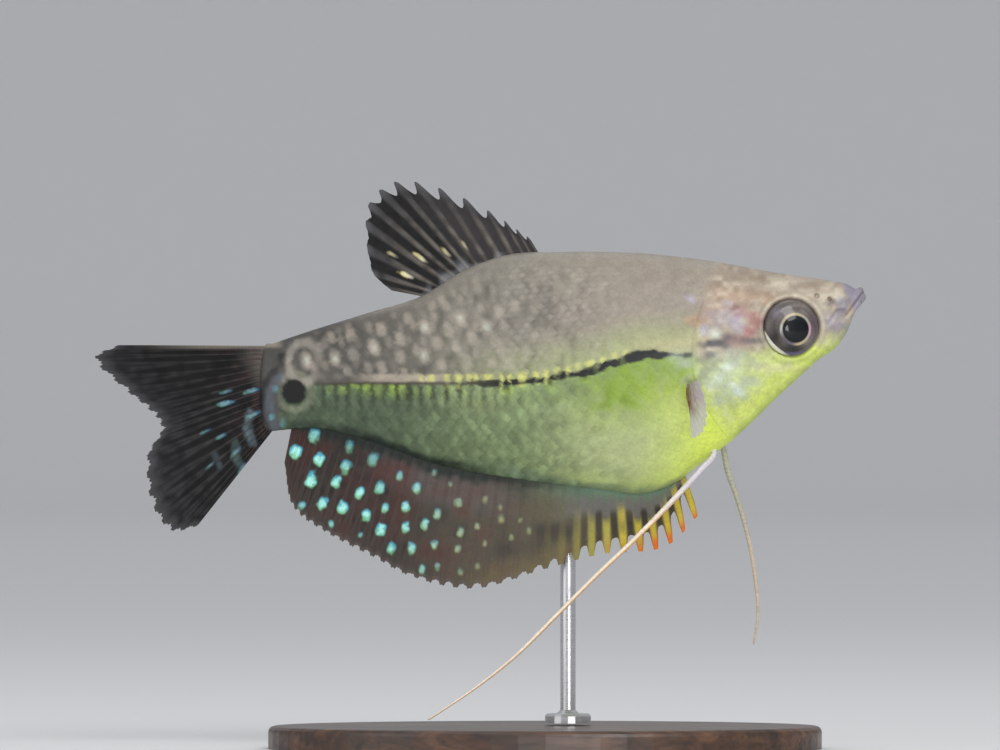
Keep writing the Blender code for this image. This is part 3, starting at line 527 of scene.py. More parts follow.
def soft_rows(points, above):
    """How pale a place is by staggered rows of soft patches that run parallel to the stripe."""
    x = points[:, 0]
    pitch = smooth_curve(PEARL_PITCH)
    stations = np.linspace(-38, 32, 400)
    count = np.concatenate([[0], np.cumsum(np.diff(stations) / pitch(stations[:-1]))])
    along, row = np.interp(x, stations, count), above / PEARL_ROW
    rows = np.zeros(len(x))
    for down in (-1, 0, 1):
        for on in (-1, 0, 1, 2):
            r, c = np.floor(row) + down, np.floor(along) + on
            place = np.stack([c, r, np.sign(points[:, 1])], axis=1)
            chance = [random_at(place, seed, ROW_FACTORS) for seed in (1, 2, 3, 4)]
            off_z = (row - r - 0.5 - 0.22 * chance[1]) * PEARL_ROW
            off_x = (along - c - 0.5 * (r % 2) - 0.22 * chance[0]) * pitch(x) + PEARL_TILT * off_z
            d = np.hypot(off_x / (0.46 + 0.12 * chance[2]), off_z / (0.74 + 0.16 * chance[3]))
            rows = np.maximum(rows, (0.6 + 0.4 * chance[3]) * ramp(d, 1.45, 0.4))
    return rows


def placed_pearls(points):
    """How pale the large pearls of the rear flank are, and how bright the glints on a few of them."""
    x, z = points[:, 0], points[:, 2]
    uneven = 0.16 * noise(points * (1.0, 0.0, 1.0), 0.5, 12)
    placed, glints = np.zeros(len(x)), np.zeros(len(x))
    for px, pz, size in PEARLS:
        off_z = z - pz
        off_x = x - px + PEARL_TILT * off_z
        block = np.abs(off_x / (0.66 * size)) ** PEARL_POWER + np.abs(off_z / (0.93 * size)) ** PEARL_POWER
        d = block ** (1 / PEARL_POWER) + uneven
        placed = np.maximum(placed, (0.05 + 0.72 * size) * ramp(d, 1.35, 0.55))
        if size >= GLINT_FROM:
            glints = np.maximum(glints, ramp(d, 0.7, 0.1))
    return placed, glints


def markings(points, centres=None):
    """Colour of the skin and of the scales at points of the body, the same rule for both.

    Blotches that fill whole scales are told by the scale's centre where there is one.
    """
    x, y, z = points.T
    centres = points if centres is None else centres
    away = np.sign(y - bend(x)) * SIDE_AWAY
    spread = np.stack([x, away, z], axis=1)

    def lumps(size, seed, along=1.0, up=1.0):
        return noise(spread * (along, 1.0, up), size, seed)

    rough, broad, streaks = lumps(1.1, 5), lumps(4.0, 6), lumps(0.75, 13, up=0.5)
    blots = noise(np.stack([centres[:, 0], away, centres[:, 2]], axis=1), 1.3, 7)
    line, bottom = stripe_line(x), belly(x)
    above = z - line
    fields = dict(
        points=points, x=x, z=z, low=z - bottom, above=above,
        height=np.clip(above / np.maximum(back(x) - line, 0.5), -2, 1),
        depth=np.clip(-above / np.maximum(line - bottom, 0.5), -1, 1.2),
        rough=rough, broad=broad, streaks=streaks, blots=blots,
    )
    skin = Painter(upper_flank(fields), **fields)
    skin.wash(lower_flank(fields), ramp(above + 0.22 * rough, 0.1, -0.25))

    # The stripe is a fine line at the rear and fills whole scales in front, so its edges are ragged there.
    share = 0.16 * ramp(x, -12, -7)[:, None]
    mid = points * (1 - share) + centres * share
    step = lumps(1.0, 8, 0.7, 0.5) + 0.5 * lumps(0.5, 10, up=0.6)
    off = np.abs(mid[:, 2] - stripe_line(mid[:, 0]) + (0.06 + 1.4 * share[:, 0]) * step)
    half = stripe_half(mid[:, 0]) * (1 + 0.7 * lumps(0.95, 9, 0.6, 0.3))
    dark = ramp(off - half, 0.2, -0.08) * skin.within(x=(20.0, 18.6, -31.5, -28))
    dark = dark * (1 - 0.75 * ramp(lumps(1.1, 19, up=0.2), 0.3, 0.65) * skin.within(x=(-9, -6, 15, 11)))
    crossing = ramp(dabs_at(x), 0.5, 0.95) * ramp(lumps(1.3, 20, up=0.0), -0.1, 0.2)
    crossing = crossing * ramp(np.abs(above), 0.9, 0.5) * skin.within(x=(-14, -10, 9, 5))
    skin.wash("cream", 0.6 * crossing)
    hooks = skin.within(streaks=(0.2, 0.6), above=(-1.4, -0.5, 0.3, -0.1), x=(-9, -5, 12, 6))
    dark = np.maximum(dark * (1 - 0.85 * crossing), 0.8 * hooks)
    front = ramp(x, -13, -5)
    skin.wash(blend("umber", "stripe", front), np.clip(dark * (0.72 + 0.28 * front), 0, 1))

    tail_markings(skin)
    head_markings(skin)
    skin.shade(0.06 * rough + 0.05 * broad + 0.07 * lumps(0.45, 11))
    return skin.colour


def dabs_at(x):
    """1 in the middle of each cream dab over the stripe and 0 between them, by the place along the fish."""
    wander = noise(np.stack([x, 0 * x, 0 * x], axis=1), 2.2, 22)
    return wave(TURN * x / DAB_PITCH + 2.6 * wander)


def upper_flank(fields):
    """Grey-brown back with its pearls, and the row of cream dabs along the top of the stripe."""
    x, above, streaks, blots = (fields[name] for name in ("x", "above", "streaks", "blots"))
    skin = Painter(blend("rear_back", "back", ramp(x, -31, -8)), **fields)
    skin.wash("back", 0.2, height=(0.9, 0.3), x=(-20, -31))
    skin.wash("shoulder", x=(-6, 14))
    skin.wash("olive", 0.9, above=(6.5, 1.2), x=(-17, 2))
    skin.wash("butter", 0.5, above=(4.0, 0.8), x=(6, 15))
    skin.shade(-0.13 * dip(x + 3.0, 4.5), above=(4.0, 2.0))
    placed, glints = placed_pearls(skin.points)
    spots = np.maximum(placed, soft_rows(skin.points, above) * (0.58 + 0.07 * ramp(x, -6.5, -2.5)))
    edge = skin.within(height=(1.0, 0.86), above=(0.2, 1.0))
    spots = spots * (1 - 0.5 * ramp(x, -8, 4)) * (1 - 0.8 * ramp(x, 4, 15)) * edge
    deep = np.clip(0.14 + 0.16 * ramp(x, -8, -16) + 0.5 * streaks + 0.2 * blots, 0, 0.8)
    skin.wash("shade", deep * (1 - np.clip(spots * 1.6, 0, 1)), x=(14, 0), height=(0.95, 0.75))
    uneven = np.clip(0.8 + 0.4 * blots - 0.25 * streaks, 0.3, 1)
    warm = blend("pearl", "beige", np.clip(0.5 + blots, 0, 1))
    skin.wash(warm, 0.85 * uneven * np.clip(spots, 0, 1))
    skin.wash("glint", 0.45 * glints * edge)
    row = ramp(np.abs(above - 0.72 + 0.25 * blots), 0.75, 0.25)
    skin.wash("beige", 0.75 * row, x=(-26, -21, -12, -15))
    dabs = np.clip(ramp(dabs_at(x), 0.2, 0.75) * (0.8 + 0.5 * blots), 0.05, 0.95)
    skin.wash("cream", row * dabs, x=(-18.5, -14, 13, 8))
    skin.wash("rim", 0.45, height=(0.9, 1.0), x=(-30, -18))
    return skin.colour


def lower_flank(fields):
    """Green flank and lime breast, with upright dark bars below the stripe, a dark fin base and painted light
    under the front of the belly.
    """
    x, low, depth, rough = (fields[name] for name in ("x", "low", "depth", "rough"))
    streaks, blots = fields["streaks"], fields["blots"]
    skin = Painter(blend("fern", "sage", ramp(x, -24, -2)), **fields)
    skin.wash("pale", ramp(np.abs(depth - 0.55), 0.6, 0.15), x=(-4, 9))
    lime = np.clip(0.05 + 0.45 * dip(x + 22.5, 4.0) + 0.55 * blots + 0.4 * streaks, 0, 0.9)
    skin.wash("lime", lime, depth=(0.32, 0.08), x=(-31, -27))
    leaf = skin.within(depth=(0.66, 0.24), x=(1, 9))
    skin.wash("leaf", np.clip(leaf * (0.78 + 0.3 * rough + 0.3 * streaks), 0, 1))
    skin.wash("breast", ramp(x + 5 * depth, 14, 21.5), depth=(0.12, 0.5))
    skin.wash("throat", ramp(x + 4 * depth, 18, 25))
    skin.wash("throat", 0.14, x=(10, 14), depth=(0.62, 0.3, 0.08, 0.25))
    # The low front of the belly is painted lighter and towards the breast tone: painted light on the
    # underside, which the lamps above leave dim.
    painted_light_low_front = dict(low=(3.0, 1.0), x=(0, 6, 18, 14))
    skin.shade(0.12, **painted_light_low_front)
    skin.wash("breast", 0.3, **painted_light_low_front)
    fin_base = skin.within(x=(20, 16, -37, -32))
    teal = ramp((low + 0.4 * rough) / (1 - 0.62 * ramp(x, -8, 4)), 2.8, 0.8)
    skin.wash("teal", 0.6 * fin_base * teal, x=(-16, -2))
    skin.wash("slate", 0.9 * fin_base * ramp(low + 0.3 * rough, 1.5, 0.5), x=(-4, -14))
    skin.wash("fern", 0.5, x=(-20, -31), depth=(0.1, 0.5))
    skin.shade(0.42 * soft_rows(skin.points, skin.above) - 0.2, x=(12, -6), above=(-0.8, -2.0))
    skin.wash("pale", 0.22 * dip(x + 8.5, 5.0), depth=(0.45, 0.2))
    bars = ramp(wave(TURN * x / BAR_PITCH + 1.1 * rough), 0.45, 0.9)
    bars = bars * np.clip(0.75 + 0.5 * streaks + 0.3 * blots, 0.15, 0.9)
    skin.wash("bar", bars, above=(-4.4, -1.8), x=(4, -14))
    skin.wash("moss", 0.5 * np.clip(0.9 * streaks + 0.5 * rough - 0.12, 0, 1), x=(18, 2), depth=(0.06, 0.2))
    skin.shade(0.26 * streaks * ramp(x, 18, 2) + 0.16 * blots * ramp(x, 16, 0))
    return skin.colour


def tail_bands(colour, x, z):
    """Lays the pale and dark bands of the tail's root over a colour, on the skin and on the fin alike."""
    points = np.stack([x.ravel(), np.zeros(x.size), z.ravel()], axis=1)
    uneven = 0.4 * noise(points, 0.6, 14)
    broken = np.clip(0.8 + 0.5 * noise(points, 0.9, 17), 0.2, 1)
    for stops, half, tone, strength in TAIL_BANDS:
        route = np.array([(a, 0.0, b) for a, b in smooth_path(stops)(np.linspace(0, 1, 13))])
        d, _ = distance_to_route(points, route)
        amount = strength * broken * ramp(d / half + uneven, 1.4, 0.3)
        colour = mix(colour, TONE[tone], amount.reshape(x.shape))
    for px, pz, radius in ROOT_GLINTS:
        d = np.hypot((x - px) / radius, (z - pz) / (1.5 * radius)) + uneven.reshape(x.shape)
        colour = mix(colour, TONE["root_glint"], 0.7 * ramp(d, 1.2, 0.4))
    return colour


def tail_markings(skin):
    """The round spot on the tail stem, its pale halo and arc, and the dark root of the tail fin."""
    x, z = skin.x, skin.z
    r = np.hypot(x - TAIL_SPOT_X, (z - TAIL_SPOT_Z) / 1.03) / TAIL_SPOT_RADIUS + 0.05 * skin.rough
    skin.wash("halo", 0.4 * ramp(np.abs(r - 1.45), 0.4, 0.1))
    arc = np.abs(np.hypot(x + 31.4, (z - 50.2) / 1.3) - 2.0)
    skin.wash("pearl", 0.45 * ramp(arc, 0.7, 0.15), x=(-28.5, -30.5))
    skin.wash("fin_root", 0.95, x=(-33.8, -35.1), z=(53.4, 52.6))
    skin.wash("beige", 0.5, x=(-33.8, -35.1), z=(51.9, 52.5))
    skin.colour = tail_bands(skin.colour, x, z)
    skin.wash("stripe", ramp(r, 1.1, 0.9))


def head_markings(skin):
    """Tan crown, yellow-green cheek and throat, and the small patches of the head."""
    x, y, z = skin.points.T
    on_head = ramp(x - gill_edge(z), -0.8, 1.8)
    spread = np.stack([x, np.sign(y) * SIDE_AWAY, z], axis=1)
    fine, specks = noise(spread, 0.7, 15), noise(spread, 1.7, 16)
    divide = 50.7 + 0.23 * (np.maximum(x, 23.0) - 25.4)
    tan = Painter(blend("tan", "brown", np.clip(0.3 + 0.5 * skin.broad + 0.4 * specks, 0, 1)), x=x)
    tan.wash("bone", 0.45 * np.clip(fine + specks - 0.1, 0, 1))
    tan.wash("umber", 0.22 * np.clip(-fine - specks - 0.1, 0, 1))
    tan.shade(0.16, x=(27, 21))
    cheek = Painter(blend("breast", "throat", ramp(skin.low, 7.0, 1.5)), low=skin.low)
    cheek.wash("mint", 0.4 * np.clip(fine + specks, 0, 1), low=(1.0, 4.0))
    cheek.wash("bone", 0.16)
    cheek.wash("leaf", 0.45, low=(1.4, 0.0))
    crown = ramp(z - divide + 0.7 * skin.rough, -1.2, 1.6)
    skin.wash(mix(cheek.colour, tan.colour, crown), on_head)
    for px, pz, length, height, tone, strength in HEAD_PATCHES:
        d = np.hypot((x - px) / length, (z - pz) / height) + 0.35 * skin.rough + 0.35 * fine
        skin.wash(tone, strength * ramp(d, 1.5, 0.2))
    brow = dip(np.hypot(x - EYE_X, z - EYE_Z) - 4.15, 0.28)
    skin.wash("bone", 0.6 * brow * ramp(z - EYE_Z + 0.6 * (x - EYE_X), -1.5, 1.0))
    skin.shade(0.16 * fine * on_head)
    skin.wash("lip", 0.9 * ramp(x + 0.45 * (z - 58.0), 39.2, 40.2))


# Skin

SKIN_RING = 320  # points round each ring
TAIL_SHARES = (1.0, 0.94, 0.84, 0.7, 0.55, 0.4, 0.25, 0.12)  # rings of the tail's cap, from its end
SNOUT_TURNS = (8, 16, 24, 32, 40, 48, 56, 63, 70, 76, 82, 86)  # rings of the snout's cap, in degrees
SCALED_FROM = 5.4  # scales fade out this far from the middle of the eye


def mouth_frame():
    """The middle of the mouth's corner, the length to its tip, and the ways along and up from there."""
    corner, tip = (np.array([place[0], 0, place[1]]) for place in (MOUTH_CORNER, MOUTH_TIP))
    length = np.linalg.norm(tip - corner)
    along = (tip - corner) / length
    return corner, length, along, np.array([-along[2], 0, along[0]])


def lip_routes():
    """The middle lines of both lips and their radii."""
    corner, length, along, up = mouth_frame()
    turns = np.radians(np.linspace(-LIP_TURN, LIP_TURN, 41))[:, None]
    across = np.array([[0, MOUTH_HALF_WIDTH, 0]])
    routes = [
        corner + along * (length - back_by) * np.cos(turns) + across * np.sin(turns) + up * side * LIP_SPREAD
        for side, back_by in LIP_BACKS
    ]
    return routes, LIP_RADIUS * (LIP_CORNER_SHARE + (1 - LIP_CORNER_SHARE) * np.cos(turns[:, 0]))


def skin_grid():
    """Points of the whole skin in rings from the tail to the snout, before its features are raised."""
    stations = np.concatenate([
        np.arange(TAIL_END_X, 16.0, 0.45),
        np.arange(16.0, GILL_X - 0.5, 0.25),
        np.linspace(GILL_X - 0.5, GILL_X - 0.02, 7),
        np.linspace(GILL_X + 0.02, GILL_X + 0.5, 7),
        np.arange(GILL_X + 0.65, 35.0, 0.17),
        np.arange(35.0, SNOUT_X, 0.1),
        [SNOUT_X],
    ])
    angles = np.linspace(0, TURN, SKIN_RING, endpoint=False)
    u, a = np.meshgrid(stations, angles, indexing="ij")
    body = surface(u, a)
    tail, snout = [], []
    for share in TAIL_SHARES:
        rim = body[0].copy()
        # The wedge's end is round, so its middle reaches farther over the fin than its edges.
        height = (rim[:, 2] - rim[:, 2].mean()) / (np.ptp(rim[:, 2]) / 2)
        rim[:, 0] -= TAIL_CAP * share * (0.45 + 0.55 * np.sqrt(np.maximum(0, 1 - height**2)))
        thin = math.sqrt(max(0.0, 1 - share * share)) * 0.75 + 0.25 * (1 - share)
        rim[:, 1] = bend(rim[:, 0]) + (rim[:, 1] - bend(TAIL_END_X)) * max(thin, 0.06)
        tail.append(rim)
    centre = body[-1].mean(axis=0)
    for turn in np.radians(SNOUT_TURNS):
        rim = centre + (body[-1] - centre) * math.cos(turn)
        rim[:, 0] = SNOUT_X + SNOUT_CAP * math.sin(turn)
        snout.append(rim)
    ends = [np.full((len(part), SKIN_RING), at) for part, at in ((tail, TAIL_END_X), (snout, SNOUT_X))]
    return np.concatenate([tail, body, snout]), np.concatenate([ends[0], u, ends[1]])


def grid_normals(points):
    """Outward directions over a grid of rings that is closed round each ring."""
    wrapped = np.concatenate([points[:, -1:], points, points[:, :1]], axis=1)
    return unit(np.cross(np.gradient(points, axis=0), wrapped[:, 2:] - wrapped[:, :-2]))


def groove_route(stops, side):
    return np.array([flank_point(x, z, side)[0] for x, z in smooth_path(stops)(np.linspace(0, 1, 25))])


def nostril_spots(points):
    """Distances to each nostril of both sides, with the nostril's radius."""
    for side in (RIGHT, LEFT):
        for x, z, radius in NOSTRILS:
            yield np.linalg.norm(points - flank_point(x, z, side)[0], axis=1), radius


def skin_features(p, u):
    """How far each skin point moves out: sockets, cheek grooves, folds and pores."""
    x, y, z = p.T
    coat = scale_cover(p, u)
    rise = -0.055 * coat
    for side in (RIGHT, LEFT):
        centre, normal = flank_point(EYE_X, EYE_Z, side)
        offset = p - centre
        along = offset @ normal
        r = np.sqrt(np.maximum((offset**2).sum(axis=1) - along**2, 0))
        rim = 0.16 * dip(r - 4.2, 0.4) - 0.1 * dip(r - 4.9, 0.4) - 1.35 * ramp(r, 3.98, 3.3)
        rise += (y * side > 0) * ramp(np.abs(along), 4.5, 3.5) * rim
        d, t = distance_to_route(p, groove_route(CHEEK_GROOVE, side))
        rise -= 0.15 * dip(d, 0.3) * np.sin(math.pi * np.clip(t, 0.02, 0.98))
        d, t = distance_to_route(p, groove_route(MAXILLA, side))
        rise -= 0.17 * dip(d, 0.22) * np.sin(math.pi * np.clip(t, 0.1, 0.9))
        rise += 0.1 * dip(d - 0.45, 0.25) * ramp(x, 36.0, 37.0)
    for d, radius in nostril_spots(p):
        rise += 0.09 * dip(d - radius * 1.3, 0.16) - 0.4 * ramp(d, radius, radius * 0.3)
    # Fine folds under the throat, where the gill membranes meet.
    low = z - belly(x)
    rise -= 0.05 * ramp(u, GILL_X, GILL_X + 2) * ramp(u, 34, 30) * ramp(low, 2.6, 0.8) * wave(low * 7.0)
    bare = (1 - coat) * ramp(x, 18, 22)
    return rise + bare * (0.014 * noise(p, 0.4, 21) + 0.03 * noise(p, 1.6, 22))


def raise_lips(p, n, rise):
    """Moves the snout's points out onto the lips, which blend softly into the snout, and cuts the mouth."""
    routes, radii = lip_routes()
    near = p[:, 0] > LIPS_FROM_X
    q, m, low = p[near], n[near], rise[near]

    def gap(t):
        at, value = q + m * t[:, None], t - low
        for route in routes:
            d, share = distance_to_route(at, route)
            lip = d - np.interp(share, np.linspace(0, 1, len(radii)), radii)
            soft = np.maximum(LIP_BLEND - np.abs(value - lip), 0) / LIP_BLEND
            value = np.minimum(value, lip) - soft * soft * LIP_BLEND / 4
        return value

    t = np.full(len(q), 1.3)
    for _ in range(40):
        t = t - np.clip(gap(t), -0.1, 0.2) * 0.8
    rise = rise.copy()
    rise[near] = t - 0.15 * mouth_cut(q + m * t[:, None], 0.11, -0.5)
    return rise


def mouth_cut(points, width, start):
    """1 along the line where the lips close."""
    corner, _, along, up = mouth_frame()
    return dip((points - corner) @ up, width) * ramp((points - corner) @ along, start, 0.3)


def scale_cover(points, u):
    """1 where scales stand full and 0 on the bare snout and jaws, at the gill edge and round the eye."""
    x, _, z = points.T
    eye = np.hypot(x - EYE_X, z - EYE_Z)
    body = ramp(u, GILL_X + 0.05, GILL_X - 0.2)
    nape = ramp(z, 58.0, 59.5)
    crown = nape * ramp(x, 32.0, 27.5)
    cheek = (1 - nape) * ramp(x, 28.0, 25.0) * ramp(u, GILL_X + 0.7, GILL_X + 1.6)
    cheek = cheek * ramp(z - 1.1 * (x - 26.0) - 43.4, -0.6, 1.2)
    tail = ramp(x, TAIL_END_X + 0.1, TAIL_END_X + 1.6)
    clear = ramp(eye, SCALED_FROM - 0.9, SCALED_FROM + 0.8)
    return np.clip(np.maximum(body, nape * (u < GILL_X + 2)) + crown + 0.8 * cheek, 0, 1) * clear * tail


def make_skin(material):
    points, u = skin_grid()
    normals = grid_normals(points).reshape(-1, 3)
    p = points.reshape(-1, 3)
    moved = p + normals * raise_lips(p, normals, skin_features(p, u.ravel()))[:, None]
    colours = markings(moved)
    # The slit where the lips close and the nostril pits are painted dark, painted shade in these hollows.
    cut = mouth_cut(moved, 0.14, -0.4) * ramp(moved[:, 0], 38.4, 38.9)
    colours = mix(colours, TONE["mouth"], 0.55 * cut)
    for d, radius in nostril_spots(moved):
        colours = mix(colours, TONE["nostril"], 0.6 * ramp(d, radius * 1.2, radius * 0.5))
    rings = moved.reshape(points.shape)
    first, last = rings[0].mean(axis=0), rings[-1].mean(axis=0)
    skin = add_shell("skin", rings, first, last, colours)
    return dress(skin, "skin", material, "head", "trunk", "tail_stem")


# Scales

SCALE_PITCH = [
    (-37.0, 0.95), (-28.0, 1.08), (-10.0, 1.2), (10.0, 1.18), (19.0, 1.0), (24.0, 0.9), (34.0, 0.78),
]
SCALE_ROW = [
    (-37.0, 0.62), (-28.0, 0.68), (-10.0, 0.74), (10.0, 0.72), (19.0, 0.62), (24.0, 0.56), (34.0, 0.5),
]
SCALE_LENGTH = 1.75  # in pitches
SCALE_HALF = 0.98  # in rows
SCALE_SUNK, SCALE_LIFT, SCALE_THICK = -0.036, 0.056, 0.022
SCALE_BURIED = -0.16  # how deep a plate lies where scales fade out
GILL_TUCK = 0.3  # how far scales that start under the gill cover lie below its surface
ALONG_AT = (0.0, 0.42, 0.68, 0.88, 1.0)  # rows of a plate's points from its root to its free edge
ACROSS, ALONG = 7, len(ALONG_AT)
SCALES_END_X = 36.0  # no scale stands ahead of this


class Unroll:
    """Finds the angle round the body for a distance from the flank line, up or down along the skin."""

    def __init__(self):
        self.stations = np.linspace(TAIL_END_X, SCALES_END_X, 220)
        self.shares = np.linspace(0, 1, 60)
        halves = []
        for end in (0.0, math.pi):
            angles = np.linspace(math.pi / 2, end, 200)
            u, a = np.meshgrid(self.stations, angles, indexing="ij")
            steps = np.linalg.norm(np.diff(surface(u, a), axis=1), axis=2)
            run = np.concatenate([np.zeros((len(u), 1)), np.cumsum(steps, axis=1)], axis=1)
            table = np.array([np.interp(self.shares * line[-1], line, angles) for line in run])
            halves.append((run[:, -1], table))
        self.up, self.down = halves

    def reach(self, u, upper):
        lengths = (self.up if upper else self.down)[0]
        return np.interp(u, self.stations, lengths)

    def turn(self, u, s, side):
        """Angles round the body at stations u and distances s from the flank line of one side."""
        u = np.clip(u, TAIL_END_X, SCALES_END_X)
        gap = self.stations[1] - self.stations[0]
        i = np.clip((u - self.stations[0]) / gap, 0, len(self.stations) - 1.001)
        low, part_i = i.astype(int), i - i.astype(int)
        found = np.zeros(len(u))
        for (lengths, table), mine in ((self.up, s >= 0), (self.down, s < 0)):
            share = np.clip(np.abs(s) / np.interp(u, self.stations, lengths), 0, 0.9995)
            j = share * (len(self.shares) - 1)
            col, part_j = j.astype(int), j - j.astype(int)
            near = table[low, col] * (1 - part_j) + table[low, col + 1] * part_j
            far = table[low + 1, col] * (1 - part_j) + table[low + 1, col + 1] * part_j
            found = np.where(mine, near * (1 - part_i) + far * part_i, found)
        return found if side == LEFT else 2 * math.pi - found


def scale_roots(unroll):
    """Front ends of all scales on one side: station, distance from the flank line, pitch and row height."""
    pitch, row = smooth_curve(SCALE_PITCH), smooth_curve(SCALE_ROW)
    places, u, odd = [], 33.5, 0
    while u > TAIL_END_X + 0.4:
        height = float(row(u))
        for upper, sign in ((True, 1), (False, -1)):
            limit = float(unroll.reach(u, upper))
            first = (0 if odd else 1) if sign > 0 else (2 if odd else 1)
            for k in range(first, int(limit / height) + 1, 2):
                if k * height < limit - 0.15 * height:
                    places.append((u, sign * k * height, float(pitch(u)), height))
        u -= float(pitch(u)) / 2
        odd = 1 - odd
    return np.array(places)


def make_scales(material):
    """Overlapping plates that follow the skin: one mesh for each flank and one for the head."""
    unroll = Unroll()
    rng = np.random.default_rng(7)
    roots = scale_roots(unroll)
    groups = {"scales_right": [], "scales_left": [], "scales_head": []}
    for side, name in ((RIGHT, "scales_right"), (LEFT, "scales_left")):
        wander = rng.uniform(-1, 1, (len(roots), 4))
        u = roots[:, 0] + 0.06 * wander[:, 0]
        s = roots[:, 1] + 0.04 * wander[:, 1]
        middle_u = u - 0.7 * roots[:, 2]
        middle = surface(middle_u, unroll.turn(middle_u, s, side))
        keep = scale_cover(middle, middle_u) > 0.04
        ahead = u > GILL_X + 1.2
        free = middle[:, 2] > 58.6
        keep &= free | ~ahead | (u - SCALE_LENGTH * roots[:, 2] > GILL_X + 0.2)
        keep &= free | ahead | (middle_u < GILL_X + 0.1)
        for title, chosen in ((name, keep & ~ahead), ("scales_head", keep & ahead)):
            groups[title].append((side, u[chosen], s[chosen], roots[chosen], wander[chosen]))
    for title, parts in groups.items():
        plates(title, parts, unroll, material)


def plates(name, parts, unroll, material):
    """One mesh of scales: each a thin curved plate, sunk at its root and free at its rear edge."""
    t, v = np.meshgrid(np.linspace(-1, 1, ACROSS), ALONG_AT, indexing="ij")
    t, v = t.ravel(), v.ravel()
    each = len(t)
    rim = grid_rim(ACROSS, ALONG)
    points, colours, uvs, flips = [], [], [], []
    for side, u, s, roots, wander in parts:
        pitch, row = roots[:, 2:3], roots[:, 3:4]
        length = SCALE_LENGTH * pitch * (1 + 0.05 * wander[:, 2:3])
        half = SCALE_HALF * row * (1 + 0.04 * wander[:, 3:4])
        vu = u[:, None] - length * v * (1 - 0.24 * t * t * v)
        vs = s[:, None] + half * t * (1 - 0.18 * v * v)
        vs = np.clip(vs, -0.997 * unroll.reach(vu, False), 0.997 * unroll.reach(vu, True))
        station = np.clip(vu, TAIL_END_X, SCALES_END_X).ravel()
        angle = unroll.turn(station, vs.ravel(), side)
        base, normal = surface(station, angle), normals_at(station, angle)
        past = vu.ravel() - station
        base[:, 0] += past
        base[:, 1] += bend(base[:, 0]) - bend(base[:, 0] - past)
        fade = np.repeat(scale_cover(base, station).reshape(-1, each).mean(axis=1), each)
        low = stripe_line(base[:, 0]) - base[:, 2]
        thinner = 0.45 * ramp(low, 2.0, 9.0) * ramp(base[:, 0], -4, 10)
        size = np.repeat(pitch[:, 0] / 1.15, each) * (1 - thinner)
        crown = SCALE_SUNK + SCALE_LIFT * v + 0.012 * np.sin(math.pi * v) - 0.012 * t * t
        lift = np.tile(crown, len(u)) * size + np.repeat(0.003 * wander[:, 0], each)
        lift = SCALE_BURIED + (lift - SCALE_BURIED) * np.sqrt(fade)
        if name != "scales_head":
            tucked = ramp(station, GILL_X, GILL_X + 0.7) * ramp(base[:, 2], 59.0, 58.2)
            lift = lift - GILL_TUCK * tucked
        top = base + normal * lift[:, None]
        under = top - normal * (SCALE_THICK * size)[:, None]
        centre = np.repeat(base.reshape(-1, each, 3)[:, each // 2 + 1], each, axis=0)
        tint = scale_colours(top, centre, np.tile(t, len(u)), np.tile(v, len(u)), wander, each)
        under, tint = under.reshape(-1, each, 3)[:, rim], tint.reshape(-1, each, 3)
        points.append(np.concatenate([top.reshape(-1, each, 3), under], axis=1))
        colours.append(np.concatenate([tint, tint[:, rim]], axis=1))
        place = np.stack([(u + 38.0) / 80.0, 0.5 + side * (0.25 + s / 90.0)], axis=1)
        uv = place[:, None, :] + 0.003 * np.stack([v - 0.5, t / 2], axis=1)[None]
        uvs.append(np.concatenate([uv, uv[:, rim]], axis=1))
        flips.append(np.full(len(u), side == LEFT))
    points, flips = np.concatenate(points), np.concatenate(flips)[:, None, None]
    k = np.arange(len(rim))
    after = (k + 1) % len(rim)
    skirt = np.stack([rim[k], rim[after], each + after, each + k], axis=1)
    bottom = np.stack([np.full(len(rim) - 2, each), each + k[2:], each + k[1:-1]], axis=1)
    faces, smooth = [], []
    for index, rounded in ((grid_faces(ACROSS, ALONG), True), (skirt, False), (bottom, False)):
        batch = (np.arange(len(points)) * points.shape[1])[:, None, None] + index[None]
        batch = np.where(flips, batch[:, :, ::-1], batch)
        faces.append(batch.reshape(-1, index.shape[1]))
        smooth.append(np.full(len(faces[-1]), rounded))
    made = add_mesh(
        name,
        points.reshape(-1, 3),
        faces,
        smooth=np.concatenate(smooth),
        colours=np.concatenate(colours).reshape(-1, 3),
        uvs=[("OFBake", np.concatenate(uvs).reshape(-1, 2))],
    )
    return dress(made, "skin", material)


def scale_colours(points, centres, t, v, wander, each):
    """Markings of the scales, with a darker edge and root that are partly pigment and partly painted shade, a
    pale middle, and no two plates quite alike.
    """
    colours = markings(points, centres)
    x, z = points[:, 0], points[:, 2]
    above = z - stripe_line(x)
    below = ramp(above, 0.5, -0.8)
    rear = ramp(x, 6, -12)
    # The free edge and the root, where the plate in front lies over it, are darker: partly the scales'
    # pigment, partly painted shade, most of all below the stripe at the rear. Above the stripe they are
    # darkened less, painted light against the shade in the steps between plates.
    edge = np.maximum(ramp(v, 0.7, 1.0), 0.6 * ramp(v, 0.5, 0.3))
    dark = 0.05 + 0.12 * below * rear - 0.03 * (1 - below)
    colours = colours * (1 - dark * edge)[:, None]
    chance = np.repeat(np.clip(0.5 + 0.7 * wander[:, 3], 0, 1), each)
    band = ramp(x, -9, -3) * ramp(x, 15, 4) * ramp(above, 0.8, 1.8) * ramp(back(x) - z, 0.8, 2.5)
    colours = mix(colours, TONE["pearl"], 0.4 * band * chance * dip(t, 0.55) * dip(v - 0.66, 0.24))
    shade = np.repeat(wander[:, 1], each) * (0.05 + 0.07 * below * ramp(x, 14, 0))
    return colours * (1 + shade)[:, None]


# Fins

FIN_SUNK = 0.5  # how deep a fin's rays start in the body
FIN_FINE = 14  # columns of points from ray to ray
FIN_HEM = 3  # columns of points before a fin's first ray and after its last one
SPOT_POWER = 2.4  # a spot's outline lies between an ellipse and a rectangle
JOINT_LENGTH = 0.22  # between two joints of a ray


